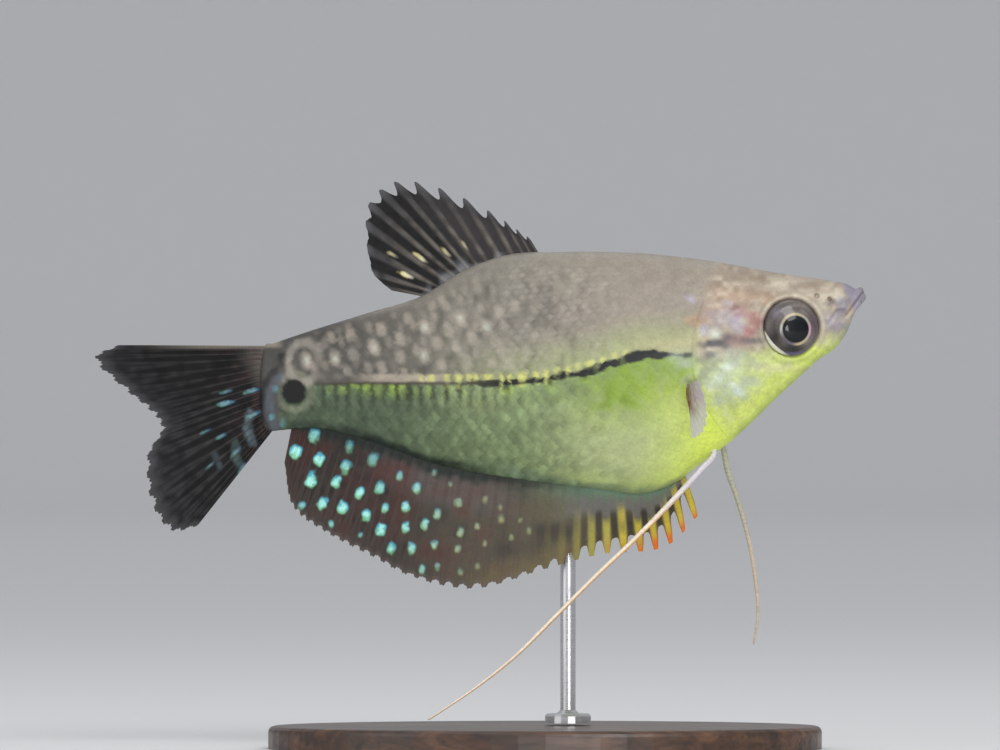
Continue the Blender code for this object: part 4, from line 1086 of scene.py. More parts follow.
def notched(depths, width, forks, blunt=0.0):
    """A fin's edge that stands out at each ray: notch depths along the fin, and small teeth at the forks."""
    depth = smooth_curve(depths)

    def margin(a, e):
        tooth = 1 - np.clip(np.abs(np.abs(e - 0.25) - 0.125) * 8, 0, 1)
        return 1 - depth(a) * ramp(e, blunt, width) + forks * tooth * ramp(e, 0.0, 0.2)

    return margin


def fin(name, pairs, places, lay, facing, paint, margin, ray_radius, rows, membrane=0.06):
    """A rayed fin as one closed sheet, its forked rays raised on both faces.

    The places of the rays are shares of the way from the first guide to the last.
    """
    roots, tips = (smooth_path([pair[end] for pair in pairs]) for end in (0, 1))
    rays, places = len(places), np.asarray(places)
    steps, hem = FIN_FINE * (rays - 1) + 2 * FIN_HEM, FIN_HEM / FIN_FINE
    ahead, behind = hem * (places[1] - places[0]), hem * (places[-1] - places[-2])
    stops = np.concatenate([[0.0], ahead + places * (1 - ahead - behind), [1.0]])
    stations = np.concatenate([[-hem], np.arange(rays), [rays - 1 + hem]])
    r = (np.arange(steps + 1) - FIN_HEM) / FIN_FINE
    r, share = np.meshgrid(r, np.linspace(0, 1, rows + 1), indexing="ij")
    a = smooth_curve(list(zip(stations, stops)))(r)
    e = np.abs(r - np.clip(np.round(r), 0, rays - 1))
    root, tip = roots(a), tips(a)
    vector = tip - root
    length = np.linalg.norm(vector, axis=-1, keepdims=True)
    start = root - vector / length * FIN_SUNK
    torn = 0.018 * noise(np.stack([r.ravel() * 3.1, r.ravel() * 0, r.ravel() * 0], axis=1), 1.0, 31)
    reach = margin(a, e) + torn.reshape(r.shape) * (e > 0.1)
    flat = start + (tip - start) * (share * reach)[..., None]
    spacing = np.linalg.norm(np.gradient(flat, axis=0), axis=-1) * FIN_FINE
    middle = lay(flat, a, share)
    branch = np.abs(e - 0.25 * ramp(share, 0.35, 1.0))
    branch = np.abs(branch - 0.125 * ramp(share, 0.7, 1.0))
    radius = ray_radius * (1 - 0.72 * share**0.8)
    ridge = radius * np.sqrt(np.clip(1 - (branch * spacing / (1.5 * radius)) ** 2, 0, 1))
    half = np.where(share >= 1, 0.03, membrane * (1 - 0.35 * share) + ridge)
    near, far = (middle + sign * half[..., None] * facing for sign in (-1, 1))
    way = vector / length
    coat = Painter(
        None, points=middle, x=middle[..., 0], z=middle[..., 2], way_x=way[..., 0], way_z=way[..., 2],
        a=a, share=share, branch=branch, e=e,
    )
    paint(coat)
    count = (steps + 1) * (rows + 1)
    faces, rim = grid_faces(steps + 1, rows + 1), grid_rim(steps + 1, rows + 1)
    walls = np.stack([rim, rim + count, np.roll(rim, -1) + count, np.roll(rim, -1)], axis=1)
    sets = [faces, faces[:, ::-1] + count, walls]
    if np.cross(roots(1.0) - roots(0.0), tips(0.5) - roots(0.5)) @ facing < 0:
        sets = [part[:, ::-1] for part in sets]
    raised = np.clip(1 - branch * spacing / (1.5 * radius), 0, 1).ravel()
    flow = np.stack([r.ravel(), (share * length[..., 0]).ravel()], axis=1)
    return add_mesh(
        f"{name}_visual",
        np.concatenate([near.reshape(-1, 3), far.reshape(-1, 3)]),
        sets,
        colours=np.tile(coat.colour.reshape(-1, 3), (2, 1)),
        floats=[("ridge", np.tile(raised, 2))],
        uvs=[("rays", np.tile(flow, (2, 1)))],
    )


def along_bend(turns, height):
    """Lays a fin of the middle line along the body's bend, its free edge waving from side to side."""

    def lay(points, a, share):
        out = points.copy()
        out[..., 1] += bend(points[..., 0]) + height * share * np.sin(turns * TURN * a)
        return out

    return lay


def cupped(depth):
    def lay(points, a, share):
        out = points.copy()
        out[..., 0] -= depth * np.sin(math.pi * a) * share
        return out

    return lay


def add_spots(fin, spots, tones, long, narrow, ahead=None):
    """Bright, uneven spots drawn out along the rays: two tones from side to side and a pale middle.

    Spots farther ahead turn towards a second set of tones where there is one.
    """
    flat = (fin.points * (1.0, 0.0, 1.0)).reshape(-1, 3)
    uneven, grain = (noise(flat, size, seed).reshape(fin.x.shape) for size, seed in ((0.55, 33), (0.3, 34)))
    for x, z, radius, strength in spots:
        dx, dz = (fin.x - x) / radius, (fin.z - z) / radius
        out, across = dx * fin.way_x + dz * fin.way_z, dx * fin.way_z - dz * fin.way_x
        dx, dz = out / long, across / narrow
        left, right, core = (blend(t, o, ramp(x, -21, -7)) for t, o in zip(tones, ahead or tones))
        d = (np.abs(dx) ** SPOT_POWER + np.abs(dz) ** SPOT_POWER) ** (1 / SPOT_POWER) + 0.27 * uneven
        rim = mix(left, right, ramp(dx + 0.5 * uneven, -0.7, 0.7))
        fin.wash(rim, 0.95 * strength * ramp(d, 1.06, 0.72))
        fin.wash(core, 0.9 * strength * ramp(d + 0.3 * grain, 0.8, 0.3))


def paint_caudal(fin):
    rough, broad = fin.lumps(0.9, 41), fin.lumps(4.0, 41)
    fin.colour = blend("ink", "soot", np.clip(0.35 + 0.5 * rough + 0.4 * broad, 0, 1))
    fin.wash("fin_root", 0.5, share=(0.3, 0.0), a=(0.5, 0.2))
    fin.wash("ash", 0.9, share=(0.24, 0.05), a=(0.6, 0.3))
    worn = 1 - 0.3 * fin.within(a=(0.5, 0.3), share=(0.25, 0.6))
    ray = blend("caudal_ray", "caudal_ray_end", ramp(fin.share, 0.2, 0.9)) * worn[..., None]
    fin.wash(ray, np.clip(0.65 + 0.5 * rough, 0, 1), branch=(0.24, 0.02))
    fin.wash("caudal_red", 0.3 * np.clip(0.4 + rough, 0, 1), share=(0.55, 0.1))
    fin.wash(tail_bands(fin.colour, fin.x, fin.z), 0.55 + 0.45 * ramp(fin.branch, 0.04, 0.2))
    add_spots(fin, CAUDAL_SPOTS, ("caudal_blue", "caudal_green", "caudal_core"), 1.7, 0.5)
    fin.wash("caudal_edge", 0.85, a=(0.06, 0.02), share=(0.95, 0.3))
    fin.wash("caudal_rim", 0.5, share=(0.9, 1.0))


def paint_anal(fin):
    x, share = fin.x, fin.share
    rough, broad = fin.lumps(0.9, 51), fin.lumps(2.6, 52)
    front = ramp(x, -6, 8)
    fin.colour = blend("anal_brown", "anal_dark", np.clip(0.5 + 0.6 * rough, 0, 1))
    fin.wash("anal_olive", 0.7 * np.clip(0.8 + 0.5 * broad, 0, 1), x=(-24, -8))
    fin.wash("anal_grey", 0.5, x=(-26, -16, -2, -8), share=(0.45, 0.25))
    fin.wash("anal_red", 0.55 * np.clip(broad + 0.25, 0, 1), x=(2, -10))
    fin.wash("anal_front", 0.8 * front * ramp(broad, -0.8, 0.6))
    ray = blend("anal_ray", "anal_front_ray", front)
    fin.wash(ray, 0.45 * (0.8 + 0.4 * rough), branch=(0.2, 0.05), share=(0.1, 0.3))
    fin.wash("anal_top", 0.8, x=(0, 5, 20, 16), share=(0.55, 0.4, 0.1, 0.25))
    fin.wash("anal_base", 0.85 * front, share=(0.3, 0.1))
    fin.wash("anal_root", 0.85 * ramp(share + 0.03 * rough, 0.17, 0.06) * (1 - front))
    rear_tones = ("anal_blue", "anal_green", "anal_core")
    ahead_tones = ("dull_blue", "dull_green", "dull_core")
    add_spots(fin, ANAL_SPOTS, rear_tones, 1.12, 0.86, ahead_tones)
    ridge = ramp(fin.e, 0.32, 0.12)
    dull = dict(x=(-2, 5, 15, 9))
    fin.wash("ochre", 0.55 * ridge, share=(0.5, 0.8), **dull)
    fin.wash("burnt", 0.5 * ramp(broad, -0.3, 0.5), share=(0.5, 0.8, 0.8, 1.0), **dull)
    fin.wash("fringe", 0.5 * np.clip(0.7 + 0.4 * rough, 0, 1), x=(-14, -6, 6, 0), share=(0.72, 0.95))
    gold = blend("gold", "orange", ramp(share + 0.12 * broad, 0.72, 0.95))
    yellow = mix(TONE["straw"], gold, ramp(x, 7.0, 11.0))
    outer = ramp(share + 0.35 * ramp(x, 13, 18) + 0.2 * broad, 0.34, 0.6)
    fin.wash(yellow, 0.95 * outer * ridge, x=(2.5, 8.0))
    fin.wash("web", 0.7, x=(1, 8), share=(0.38, 0.6), e=(0.24, 0.38))
    fin.wash("anal_rim", 0.4 * (1 - front), share=(0.94, 1.0))


def paint_dorsal(fin):
    rough = fin.lumps(1.2, 61)
    streak = np.clip(0.75 + 0.5 * rough, 0, 1)
    fin.colour = blend("dorsal_brown", "dorsal_dark", np.clip(0.5 + 0.6 * rough, 0, 1))
    fin.wash("dorsal_front", 0.8, a=(0.5, 0.3))
    fin.wash(blend("dorsal_ray", "dorsal_ray_end", ramp(fin.share, 0.25, 0.95)), 0.9 * streak, e=(0.3, 0.1))
    fin.wash("dorsal_fork", 0.5 * streak, branch=(0.06, 0.01), share=(0.8, 0.3))
    fin.wash("dorsal_base", 0.6 * np.clip(0.5 + rough, 0, 1), share=(0.2, 0.06), a=(0.05, 0.3))
    add_spots(fin, DORSAL_SPOTS, ("dorsal_tan", "dorsal_gold", "dorsal_core"), 1.9, 0.55)
    fin.wash("dorsal_rim", 0.5, share=(0.86, 1.0), e=(0.3, 0.1))


def paint_pectoral(fin):
    x, z, rough = fin.x, fin.z, fin.lumps(0.8, 65)
    # Pale lilac, turning near white towards the edge: partly the fin's own pale colour, partly painted light
    # that stands in for light shining through the thin membrane.
    fin.colour = blend("pectoral", "pectoral_end_and_light", ramp(fin.share, 0.3, 1.0))
    fin.wash("pectoral_ray", 0.35, branch=(0.2, 0.06))
    fin.wash("pectoral_lilac", 0.45 * ramp(z + 0.4 * rough, 43.0, 46.0))
    streak = ramp(x + 0.25 * (z - 45.0) + 0.4 * rough, 19.9, 18.7) * ramp(z + 0.6 * rough, 42.4, 45.0)
    fin.wash("pectoral_red", 0.95 * streak)


# Bright spots of the fins: x, z, radius and strength.
ANAL_SPOTS = [
    (-32.4, 38.6, 0.95, 1.0), (-29.4, 37.6, 0.9, 1.0), (-25.9, 36.7, 0.9, 0.6), (-30.0, 40.7, 0.95, 0.5),
    (-22.4, 37.7, 0.9, 0.35), (-25.4, 39.3, 0.8, 0.3), (-30.4, 34.9, 1.0, 1.0), (-27.2, 34.7, 0.82, 0.9),
    (-24.1, 33.3, 0.76, 1.0), (-21.5, 34.0, 0.82, 0.65), (-18.9, 35.5, 0.6, 0.45), (-16.7, 33.9, 0.76, 0.7),
    (-28.9, 31.9, 0.82, 0.95), (-26.3, 31.4, 0.85, 1.0), (-23.2, 30.4, 0.76, 0.95), (-20.8, 31.3, 0.62, 0.8),
    (-18.1, 31.5, 0.7, 0.9), (-14.0, 30.6, 0.7, 0.65), (-11.3, 32.0, 0.7, 0.5), (-7.8, 32.5, 0.5, 0.35),
    (-31.6, 31.6, 0.6, 0.5), (-27.8, 29.3, 0.5, 0.5), (-21.3, 28.5, 0.76, 1.0), (-18.2, 28.8, 0.72, 0.85),
    (-15.7, 29.2, 0.7, 0.8), (-11.0, 28.2, 0.6, 0.65), (-8.8, 28.9, 0.5, 0.6), (-5.7, 29.9, 0.6, 0.45),
    (-24.0, 27.8, 0.4, 0.35), (-20.0, 26.1, 0.7, 0.85), (-17.4, 26.1, 0.7, 0.8), (-14.4, 26.5, 0.6, 0.85),
    (-11.3, 26.0, 0.55, 0.6), (-7.8, 26.7, 0.45, 0.4), (-4.4, 27.5, 0.45, 0.4), (-2.1, 28.4, 0.5, 0.35),
    (-16.0, 23.4, 0.6, 0.6), (-14.0, 23.7, 0.5, 0.4), (-11.0, 23.0, 0.5, 0.4), (-8.8, 23.8, 0.45, 0.4),
    (-14.4, 35.9, 0.45, 0.3), (-12.3, 34.4, 0.4, 0.25), (-5.8, 31.4, 0.45, 0.3), (-3.2, 29.8, 0.4, 0.3),
]
CAUDAL_SPOTS = [
    (-41.6, 44.9, 0.75, 0.9), (-41.6, 46.4, 0.6, 0.5), (-38.3, 46.5, 0.7, 0.75), (-38.0, 43.4, 0.7, 0.7),
    (-42.2, 40.6, 0.6, 0.6), (-44.3, 41.2, 0.5, 0.35), (-40.2, 38.6, 0.6, 0.5), (-35.4, 46.6, 0.45, 0.7),
    (-43.6, 36.8, 0.5, 0.4), (-39.4, 36.4, 0.6, 0.5),
]
DORSAL_SPOTS = [
    (-18.1, 61.6, 0.62, 0.95), (-16.2, 63.9, 0.6, 0.75), (-19.9, 64.3, 0.5, 0.45), (-12.9, 64.6, 0.55, 0.5),
    (-10.4, 65.4, 0.4, 0.35),
]
# The anal fin's spines stand apart in front, and its soft rays close up towards the rear.
ANAL_STEPS = np.interp(np.linspace(0, 1, 37), (0, 0.03, 0.08, 0.24, 0.4, 1), (4.4, 4.2, 2.9, 2.9, 2.7, 2.4))
ANAL_PLACES = np.concatenate([[0.0], np.cumsum(ANAL_STEPS)])
ANAL_PLACES = ANAL_PLACES / ANAL_PLACES[-1]
# The dorsal fin's spines stand close at the front and its soft rays wider at the rear.
DORSAL_PLACES = (0.0, 0.04, 0.085, 0.143, 0.215, 0.29, 0.365, 0.44, 0.51, 0.585, 0.67, 0.77, 0.88, 1.0)

# Edges of the fins: notch depths along the fin, the notches' width, the size of the teeth and a blunt part.
DORSAL_EDGE = ([(0, 0.3), (0.3, 0.2), (0.5, 0.1), (0.65, 0.04), (1, 0.03)], 0.45, 0.01)
ANAL_EDGE = (
    [(0, 0.75), (0.06, 0.5), (0.12, 0.34), (0.22, 0.2), (0.32, 0.07), (0.5, 0.035), (0.75, 0.03), (1, 0.025)],
    0.34, 0.012, 0.12,
)
CAUDAL_EDGE = ([(0, 0.03), (1, 0.03)], 0.4, 0.022)
PECTORAL_EDGE = ([(0, 0.06), (1, 0.05)], 0.4, 0.02)


def make_fins(fin_look, clear_look):
    dorsal = [((x, 0, float(back(x))), (tx, 0, tz)) for x, tx, tz in DORSAL_GUIDES]
    anal = [((x, 0, float(belly(x))), (tx, 0, tz)) for x, tx, tz in ANAL_GUIDES]
    caudal = [((TAIL_END_X, 0, z), (tx, 0, tz)) for z, tx, tz in CAUDAL_GUIDES]
    caudal_places = np.linspace(0, 1, CAUDAL_RAYS)
    across = np.array([0.0, 1.0, 0.0])
    for name, pairs, places, waves, paint, edge, slot, ray_radius, rows in (
        ("dorsal_fin", dorsal, DORSAL_PLACES, (0.8, 0.5), paint_dorsal, DORSAL_EDGE, "fin_dark", 0.17, 72),
        ("anal_fin", anal, ANAL_PLACES, (2.3, 0.45), paint_anal, ANAL_EDGE, "fin_anal", 0.14, 84),
        ("caudal_fin", caudal, caudal_places, (1.1, 0.5), paint_caudal, CAUDAL_EDGE, "fin_dark", 0.15, 110),
    ):
        made = fin(name, pairs, places, along_bend(*waves), across, paint, notched(*edge), ray_radius, rows)
        dress(made, slot, fin_look, name)
    for name, side in (("pectoral_fin_right", RIGHT), ("pectoral_fin_left", LEFT)):
        pairs = []
        for x, z, ahead, away, up in PECTORAL_GUIDES:
            out = float(flank_out(x, z))
            pairs.append(((x, side * out, z), (x + ahead, side * (out + away), z + up)))
        facing = unit(np.array([1.0, side * PECTORAL_LEAN, 0.0]))
        places = np.linspace(0, 1, PECTORAL_RAYS)
        edge = notched(*PECTORAL_EDGE)
        made = fin(name, pairs, places, cupped(0.5), facing, paint_pectoral, edge, 0.11, 40, 0.05)
        dress(made, "fin_clear", clear_look, name)


# Feelers


def feeler(side, base, route, paint, material, node):
    """A long feeler with fine rings, thick at its root and thread-thin at its tip."""
    x, out, radius = base
    angle = math.pi - math.asin(min(1.0, out / float(half_width(x))) ** (1 / float(keel_below(x))))
    turn = angle if side == LEFT else TURN - angle
    on_skin = np.array([x, side * out, float(height_at(np.array(x), np.array(math.cos(turn))))])
    normal = belly_normal(x, turn)
    onward = unit(np.array([route[0][0], side * route[0][1], route[0][2]]) - on_skin)
    start, clear = on_skin - FEELER_SUNK * (normal + onward), on_skin + FEELER_STRAIGHT * (normal + onward)
    stops = [(*start, radius), (*clear, radius)]
    stops += [(px, side * py, pz, pr) for px, py, pz, pr in route]
    lengths = np.linalg.norm(np.diff(np.array(stops)[:, :3], axis=0), axis=1)
    at = np.linspace(0, 1, FEELER_RINGS) ** 1.25
    line = smooth_path(stops, np.concatenate([[0.0], np.cumsum(lengths)]) / lengths.sum())(at)
    rings = 1 + 0.05 * np.cos(at * lengths.sum() * TURN / FEELER_RING)
    radii = line[:, 3] * rings * (0.66 + 0.18 * ramp(at, 0.0, 0.2) - 0.3 * ramp(at, 0.6, 1.0))
    forward = unit(np.gradient(line[:, :3], axis=0))
    side_way = unit(np.cross(forward, [0.0, 1.0, 0.0]))
    other = np.cross(forward, side_way)
    turns = np.linspace(0, TURN, FEELER_SIDES, endpoint=False)[None, :, None]
    circle = side_way[:, None] * np.cos(turns) + other[:, None] * np.sin(turns)
    points = line[:, None, :3] + circle * radii[:, None, None]
    tip = line[-1, :3] + forward[-1] * radii[-1] * 1.6
    coat = Painter(None, points=points, at=np.repeat(at[:, None], FEELER_SIDES, 1), upness=circle[..., 2])
    paint(coat)
    made = add_shell(f"{node}_visual", points, line[0, :3], tip, coat.colour)
    return dress(made, "feeler", material, node)


def belly_normal(x, turn):
    """Outward direction of the plain body section at x."""

    def at(px, angle):
        up, across = math.cos(angle), math.sin(angle)
        out = float(half_width(px)) * abs(across) ** float(keel_below(px))
        return np.array([px, math.copysign(out, across), float(height_at(np.array(px), np.array(up)))])

    return unit(np.cross(at(x + 0.05, turn) - at(x - 0.05, turn), at(x, turn + 0.02) - at(x, turn - 0.02)))


def near_feeler_paint(coat):
    # Gold below and paler on the upper side, with a blue-white streak along the top: the paler top is partly
    # the feeler's cream and partly painted light, and the streak is a painted highlight.
    coat.colour = blend("feeler_gold", "feeler_cream_and_top_light", ramp(coat.upness, -0.6, 0.1))
    coat.wash("feeler_painted_highlight", 0.7, upness=(0.55, 0.95))
    coat.wash("feeler_root", at=(0.28, 0.08))
    coat.shade(0.08 * coat.lumps(0.5, 71))


def far_feeler_paint(coat):
    coat.colour = blend("feeler_grey", "feeler_tan", ramp(coat.at, 0.25, 0.75))
    coat.wash("feeler_lilac", 0.5, upness=(-0.2, 0.7), at=(0.3, 0.6))
    coat.shade(0.1 * coat.lumps(0.5, 72))


# Eyes

EYE_RINGS, EYE_SIDES = 110, 160
EYE_REAR_TURNS = (15, 35, 60, 80)  # rings of the eye's seat, in degrees


def make_eye(name, side, material):
    """An eyeball with a domed front: pupil, gilt ring, iris with fine spokes, and a silver lower rim."""
    centre, normal = flank_point(EYE_X, EYE_Z, side, -EYE_SUNK)
    ahead = unit(np.array([1.0, 0.0, 0.0]) - normal * normal[0])
    up = np.cross(normal, ahead)
    up *= np.sign(up[2])
    r = EYE_RADIUS * np.sin(np.linspace(0, 1, EYE_RINGS + 1)[1:] * math.pi / 2)
    turns = np.linspace(0, TURN, EYE_SIDES, endpoint=False)
    circle = np.cos(turns)[:, None] * ahead + np.sin(turns)[:, None] * up
    rr, tt = np.meshgrid(r, turns, indexing="ij")
    px, pz = rr * np.cos(tt), rr * np.sin(tt)
    dome = EYE_DEPTH * np.sqrt(np.clip(1 - (rr / EYE_RADIUS) ** 2, 0, 1))
    from_pupil = np.hypot(px - PUPIL_AHEAD, pz - PUPIL_UP)
    dome = dome + PUPIL_BULGE * ramp(from_pupil, 1.9, 1.2)
    dome = dome - 0.05 * dip(from_pupil - 2.75, 0.5) * ramp(rr, 3.6, 3.0)
    front = centre + rr[..., None] * circle + dome[..., None] * normal
    rear = [
        centre + EYE_RADIUS * math.cos(turn) * circle - EYE_DEPTH * math.sin(turn) * normal
        for turn in np.radians(EYE_REAR_TURNS)
    ]
    colours = eye_colours(px, pz, rr, tt, from_pupil)
    colours = np.concatenate([colours, np.repeat(colours[-1:], len(rear), axis=0)])
    apex, seat = centre + (EYE_DEPTH + PUPIL_BULGE) * normal, centre - EYE_DEPTH * normal
    flip = np.cross(ahead, up) @ normal >= 0
    made = add_shell(f"{name}_visual", np.concatenate([front, rear]), apex, seat, colours, flip)
    return dress(made, "eye", material, name)


def apart(angle, degrees):
    """The angle between two directions round the eye, in radians."""
    return np.abs(np.angle(np.exp(1j * (angle - math.radians(degrees)))))


def eye_colours(px, pz, rr, tt, from_pupil):
    around = np.arctan2(pz - PUPIL_UP, px - PUPIL_AHEAD)
    spokes = 0.5 + 0.5 * np.sin(around * 37 + 3 * np.sin(around * 5))
    iris = Painter(blend("iris", "iris_deep", 0.5 + 0.5 * np.sin(around * 3 + 0.6)), px=px)
    iris.wash("iris_rear", 0.95 * dip(np.hypot(px + 2.4, (pz + 1.3) / 1.6), 1.05))
    iris.wash("iris_low", 0.9 * dip(np.hypot((px - 0.1) / 2.2, pz + 2.75), 0.75))
    # A painted reflection: a soft pale patch at the upper rear of the iris.
    iris.wash("iris_painted_reflection", 0.75 * dip(np.hypot(px + 2.1, pz - 1.9), 0.8))
    iris.wash("iris_top", 0.6 * dip(np.hypot((px + 0.4) / 1.8, pz - 2.9), 0.6))
    iris.wash("iris_line", 0.5 * dip(np.hypot((px - 0.6) / 1.6, pz - 2.3), 0.3))
    iris.wash("iris_ahead", 0.6, px=(1.6, 3.0))
    bands = np.sin(from_pupil * 8.5 + 0.8 * np.sin(around * 4))
    iris.shade(0.2 * spokes * ramp(from_pupil, 3.4, 2.1) + 0.12 * bands)
    gilt = Painter(blend("gilt", "gilt_green", 0.5 + 0.5 * np.sin(around * 2 + 1.0)))
    gilt.wash("gilt_pink", ramp(np.abs(around), 0.7, 0.2))
    gilt.wash("gilt_dark", ramp(apart(around, -126.05), 0.9, 0.3))
    silver = ramp(rr - 0.45 * (apart(tt, 227) / 0.8) ** 2, 3.18, 3.32) * ramp(apart(tt, 227), 0.8, 0.65)
    iris.wash(gilt.colour, 0.95 * ramp(np.abs(from_pupil - 1.95), 0.26, 0.08))
    iris.wash("pupil", ramp(from_pupil, PUPIL_RADIUS + 0.08, PUPIL_RADIUS - 0.06))
    iris.wash("silver", 0.96 * silver)
    iris.wash("violet", 0.7 * ramp(rr, 3.1, 3.4) * ramp(apart(tt, 275), 0.5, 0.2))
    iris.wash("eye_rim", 0.6 * ramp(rr, 3.35, 3.62) * (1 - silver))
    return iris.colour


# Materials


def settle(node, **settings):
    """Sets a node's properties and the values of its sockets, whose spaces are underscores here."""
    for key, value in settings.items():
        if hasattr(node, key):
            setattr(node, key, value)
        else:
            node.inputs[key.replace("_", " ")].default_value = value
    return node


class Finish:
    """A material in the making, with short ways to add and join its nodes."""

    def __init__(self, name, **sockets):
        self.material = bpy.data.materials.new(name)
        self.material.use_nodes = True
        self.tree = self.material.node_tree
        self.shader = settle(self.tree.nodes["Principled BSDF"], **sockets)

    def add(self, kind, **settings):
        return settle(self.tree.nodes.new("ShaderNode" + kind), **settings)

    def link(self, source, node, socket):
        self.tree.links.new(source, node.inputs[socket])

    def attribute(self, name):
        return self.add("Attribute", attribute_name=name)

    def noise(self, scale, detail=4.0, roughness=0.6, stretch=None, distortion=0.0):
        """Noise over the piece, drawn out by scales of its three directions if they are given."""
        place = self.add("TexCoord").outputs["Object"]
        if stretch:
            mapping = self.add("Mapping", **stretch)
            self.link(place, mapping, "Vector")
            place = mapping.outputs["Vector"]
        settings = dict(Scale=scale, Detail=detail, Roughness=roughness, Distortion=distortion)
        made = self.add("TexNoise", **settings)
        self.link(place, made, "Vector")
        return made.outputs["Fac"]

    def ranged(self, source, low, high, from_low=0.3, from_high=0.7):
        """A value of a texture mapped to a range."""
        made = self.add("MapRange", From_Min=from_low, From_Max=from_high, To_Min=low, To_Max=high)
        self.link(source, made, "Value")
        return made.outputs["Result"]

    def multiplied(self, colour, shade, share=1.0):
        made = self.add("Mix", data_type="RGBA", blend_type="MULTIPLY")
        made.inputs[0].default_value = share
        self.link(colour, made, 6)
        self.link(shade, made, 7)
        return made.outputs[2]

    def speckled(self, scale, low, high):
        """The piece's markings, their brightness varied by a fine noise."""
        colour = self.attribute("markings").outputs["Color"]
        return self.multiplied(colour, self.ranged(self.noise(scale), low, high))

    def toned(self, source, *stops):
        """Colours along a value, from (position, colour) stops."""
        made = self.add("ValToRGB")
        elements = made.color_ramp.elements
        for at, (position, colour) in enumerate(stops):
            element = elements[at] if at < 2 else elements.new(position)
            element.position, element.color = position, (*colour, 1)
        self.link(source, made, "Fac")
        return made.outputs["Color"]

    def finished(self, colour, gloss, roughness, relief, strength, distance):
        """Joins colour, uneven gloss and a small bump to the shader."""
        self.link(colour, self.shader, "Base Color")
        self.link(self.ranged(gloss, *roughness), self.shader, "Roughness")
        bump = self.add("Bump", Strength=strength, Distance=distance)
        self.link(relief, bump, "Height")
        self.link(bump.outputs["Normal"], self.shader, "Normal")
        return self.material


def painted(name, scale, speckle, roughness, bump, coat):
    """A surface coloured by its markings, with fine speckle, uneven gloss and a small bump."""
    look = Finish(name, Specular_IOR_Level=0.3, Coat_Weight=coat, Coat_Roughness=0.22)
    gloss, relief = look.noise(scale * 0.6, 3.0), look.noise(scale * 1.4, 5.0)
    return look.finished(look.speckled(scale, *speckle), gloss, roughness, relief, bump, 0.00005)


def fin_material(name, alpha, roughness):
    """Fin membrane and rays: cross joints along the rays and fine wrinkles between them."""
    look = Finish(name, Specular_IOR_Level=0.2, Alpha=alpha)
    parts = look.add("SeparateXYZ")
    look.link(look.add("UVMap", uv_map="rays").outputs["UV"], parts, "Vector")
    joints = look.add("Math", operation="PINGPONG")
    joints.inputs[1].default_value = JOINT_LENGTH
    look.link(parts.outputs["Y"], joints, 0)
    only = look.add("Mix", data_type="FLOAT")
    only.inputs[2].default_value = 1.0
    look.link(look.attribute("ridge").outputs["Fac"], only, 0)
    look.link(look.ranged(joints.outputs[0], 0.0, 1.0, 0.0, 0.05), only, 3)
    height = look.add("Math", operation="ADD")
    look.link(look.noise(1800.0, 5.0), height, 0)
    look.link(only.outputs[0], height, 1)
    colour = look.multiplied(look.speckled(2600.0, 0.9, 1.08), only.outputs[0], 0.45)
    return look.finished(colour, look.noise(900.0), roughness, height.outputs[0], 0.35, 0.00006)


def eye_material():
    """Painted iris under a clear domed coat."""
    look = Finish("eye_glass", IOR=1.25, Coat_Weight=1.0, Coat_IOR=1.33, Coat_Roughness=0.03)
    colour, gloss, relief = look.speckled(4200.0, 0.86, 1.12), look.noise(1500.0), look.noise(5200.0)
    return look.finished(colour, gloss, (0.28, 0.42), relief, 0.25, 0.00003)


def wood_material():
    """Dark walnut with long grain along the base, satin lacquered."""
    look = Finish("walnut", Coat_Weight=0.35, Coat_Roughness=0.22)
    stretch = dict(Scale=(14.0, 190.0, 150.0), Rotation=(0.0, 0.0, 0.05))
    rings = look.noise(1.6, 7.0, 0.62, stretch, 1.2)
    stops = [(0.32, TONE["wood_dark"]), (0.68, TONE["wood_pale"]), (0.5, TONE["wood"])]
    pores = look.noise(9.0, 3.0, 0.7, stretch)
    colour = look.multiplied(look.toned(rings, *stops), look.ranged(pores, 0.62, 1.05, 0.35, 0.55))
    return look.finished(colour, pores, (0.5, 0.34), pores, 0.3, 0.00008)


def steel_material():
    """Steel brushed round the rod."""
    look = Finish("brushed_steel", Metallic=1.0)
    lines = look.noise(1.0, 3.0, 0.6, dict(Scale=(60.0, 60.0, 5200.0)))
    colour = look.toned(lines, (0.0, (0.42, 0.42, 0.43)), (1.0, (0.72, 0.72, 0.73)))
    return look.finished(colour, lines, (0.22, 0.4), lines, 0.12, 0.00002)


def make_materials():
    return {
        "skin": painted("skin", 2600.0, (0.88, 1.1), (0.38, 0.55), 0.3, 0.12),
        "scales": painted("scales", 3000.0, (0.9, 1.09), (0.38, 0.54), 0.2, 0.1),
        "feeler": painted("feeler", 3200.0, (0.85, 1.12), (0.3, 0.5), 0.3, 0.25),
        "fin": fin_material("fin", 1.0, (0.5, 0.68)),
        "clear": fin_material("fin_clear", 0.6, (0.3, 0.45)),
        "eye": eye_material(),
        "wood": wood_material(),
        "steel": steel_material(),
    }


# Floor, light and camera

VIEW_WIDTH, VIEW_X, VIEW_Z = 130.0, -5.85, 48.6
CAMERA_AWAY, SENSOR = 1500.0, 36.0
FLOOR_REACH, FLOOR_CURVE, WALL_TOP, FLOOR_SIDES = 2600.0, 600.0, 1100.0, 96
LIGHT_TARGET = (0, 0, 45)
# Lights: name, place, width and power.
LIGHTS = [
    ("key", (180, -520, 430), 320, 1.5), ("fill", (-480, -420, 120), 420, 0.7),
    ("top", (-60, 160, 620), 420, 0.5), ("front", (120, -850, 40), 300, 2.2),
]


def area_light(name, place, size, power):
    data = bpy.data.lights.new(name, "AREA")
    data.shape = "DISK"
    data.size = size * MM
    data.energy = power
    lamp = bpy.data.objects.new(name, data)
    lamp.location = Vector(place) * MM
    lamp.rotation_euler = (Vector(LIGHT_TARGET) - Vector(place)).to_track_quat("-Z", "Y").to_euler()
    bpy.context.scene.collection.objects.link(lamp)


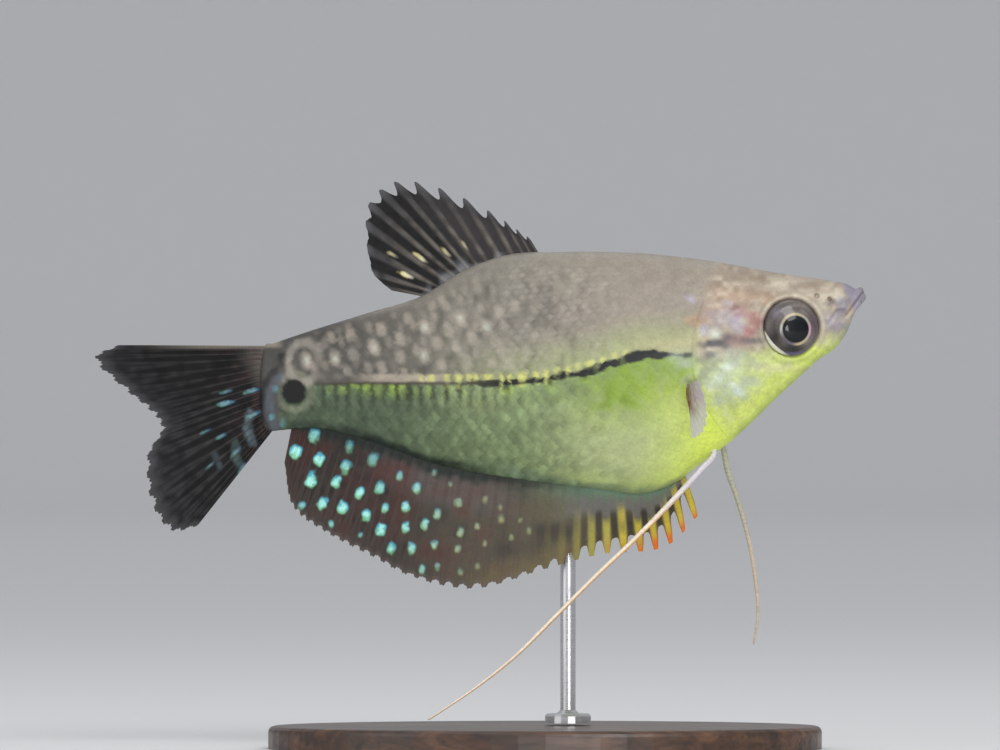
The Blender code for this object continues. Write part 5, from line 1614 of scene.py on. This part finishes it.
def make_stage():
    """A pale round floor that curves up far away into a low wall, soft lights and the camera."""
    turns = np.linspace(0, math.pi / 2, 24)
    profile = [(FLOOR_REACH + FLOOR_CURVE * math.sin(t), FLOOR_CURVE * (1 - math.cos(t))) for t in turns]
    profile.append((FLOOR_REACH + FLOOR_CURVE, WALL_TOP))
    around = np.linspace(0, TURN, FLOOR_SIDES, endpoint=False)
    points = [(r * math.cos(a), r * math.sin(a), z) for r, z in profile for a in around] + [(0.0, 0.0, 0.0)]
    ring = np.arange(FLOOR_SIDES)
    disc = np.stack([np.full(FLOOR_SIDES, len(points) - 1), ring, (ring + 1) % FLOOR_SIDES], axis=1)
    faces = [grid_faces(len(profile), FLOOR_SIDES, closed=True)[:, ::-1], disc]
    sweep = add_mesh("studio_floor", points, faces)
    paper = Finish("studio_paper", Base_Color=(0.76, 0.76, 0.76, 1), Roughness=0.85)
    sweep.data.materials.append(paper.material)
    for light in LIGHTS:
        area_light(*light)
    world = bpy.data.worlds.new("studio")
    world.use_nodes = True
    settle(world.node_tree.nodes["Background"], Color=(0.94, 0.96, 1.0, 1), Strength=0.6)
    bpy.context.scene.world = world
    data = bpy.data.cameras.new("camera")
    data.sensor_width = SENSOR
    data.lens = SENSOR * CAMERA_AWAY / VIEW_WIDTH
    data.clip_start, data.clip_end = 0.05, 20.0
    camera = bpy.data.objects.new("camera", data)
    camera.location = Vector((VIEW_X, -CAMERA_AWAY, VIEW_Z)) * MM
    camera.rotation_euler = (math.pi / 2, 0, 0)
    bpy.context.scene.collection.objects.link(camera)
    bpy.context.scene.camera = camera
    bpy.context.scene.view_settings.view_transform = "Standard"


def main():
    materials = make_materials()
    make_stage()
    make_skin(materials["skin"])
    make_scales(materials["scales"])
    make_fins(materials["fin"], materials["clear"])
    look = materials["feeler"]
    feeler(RIGHT, NEAR_ROOT, NEAR_ROUTE, near_feeler_paint, look, "pelvic_fin_right")
    feeler(LEFT, FAR_ROOT, FAR_ROUTE, far_feeler_paint, look, "pelvic_fin_left")
    make_eye("eye_right", RIGHT, materials["eye"])
    make_eye("eye_left", LEFT, materials["eye"])
    for node, look in (("stand_base", "wood"), ("stand_rod", "steel")):
        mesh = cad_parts[node].data
        mesh.materials.clear()
        mesh.materials.append(materials[look])


main()
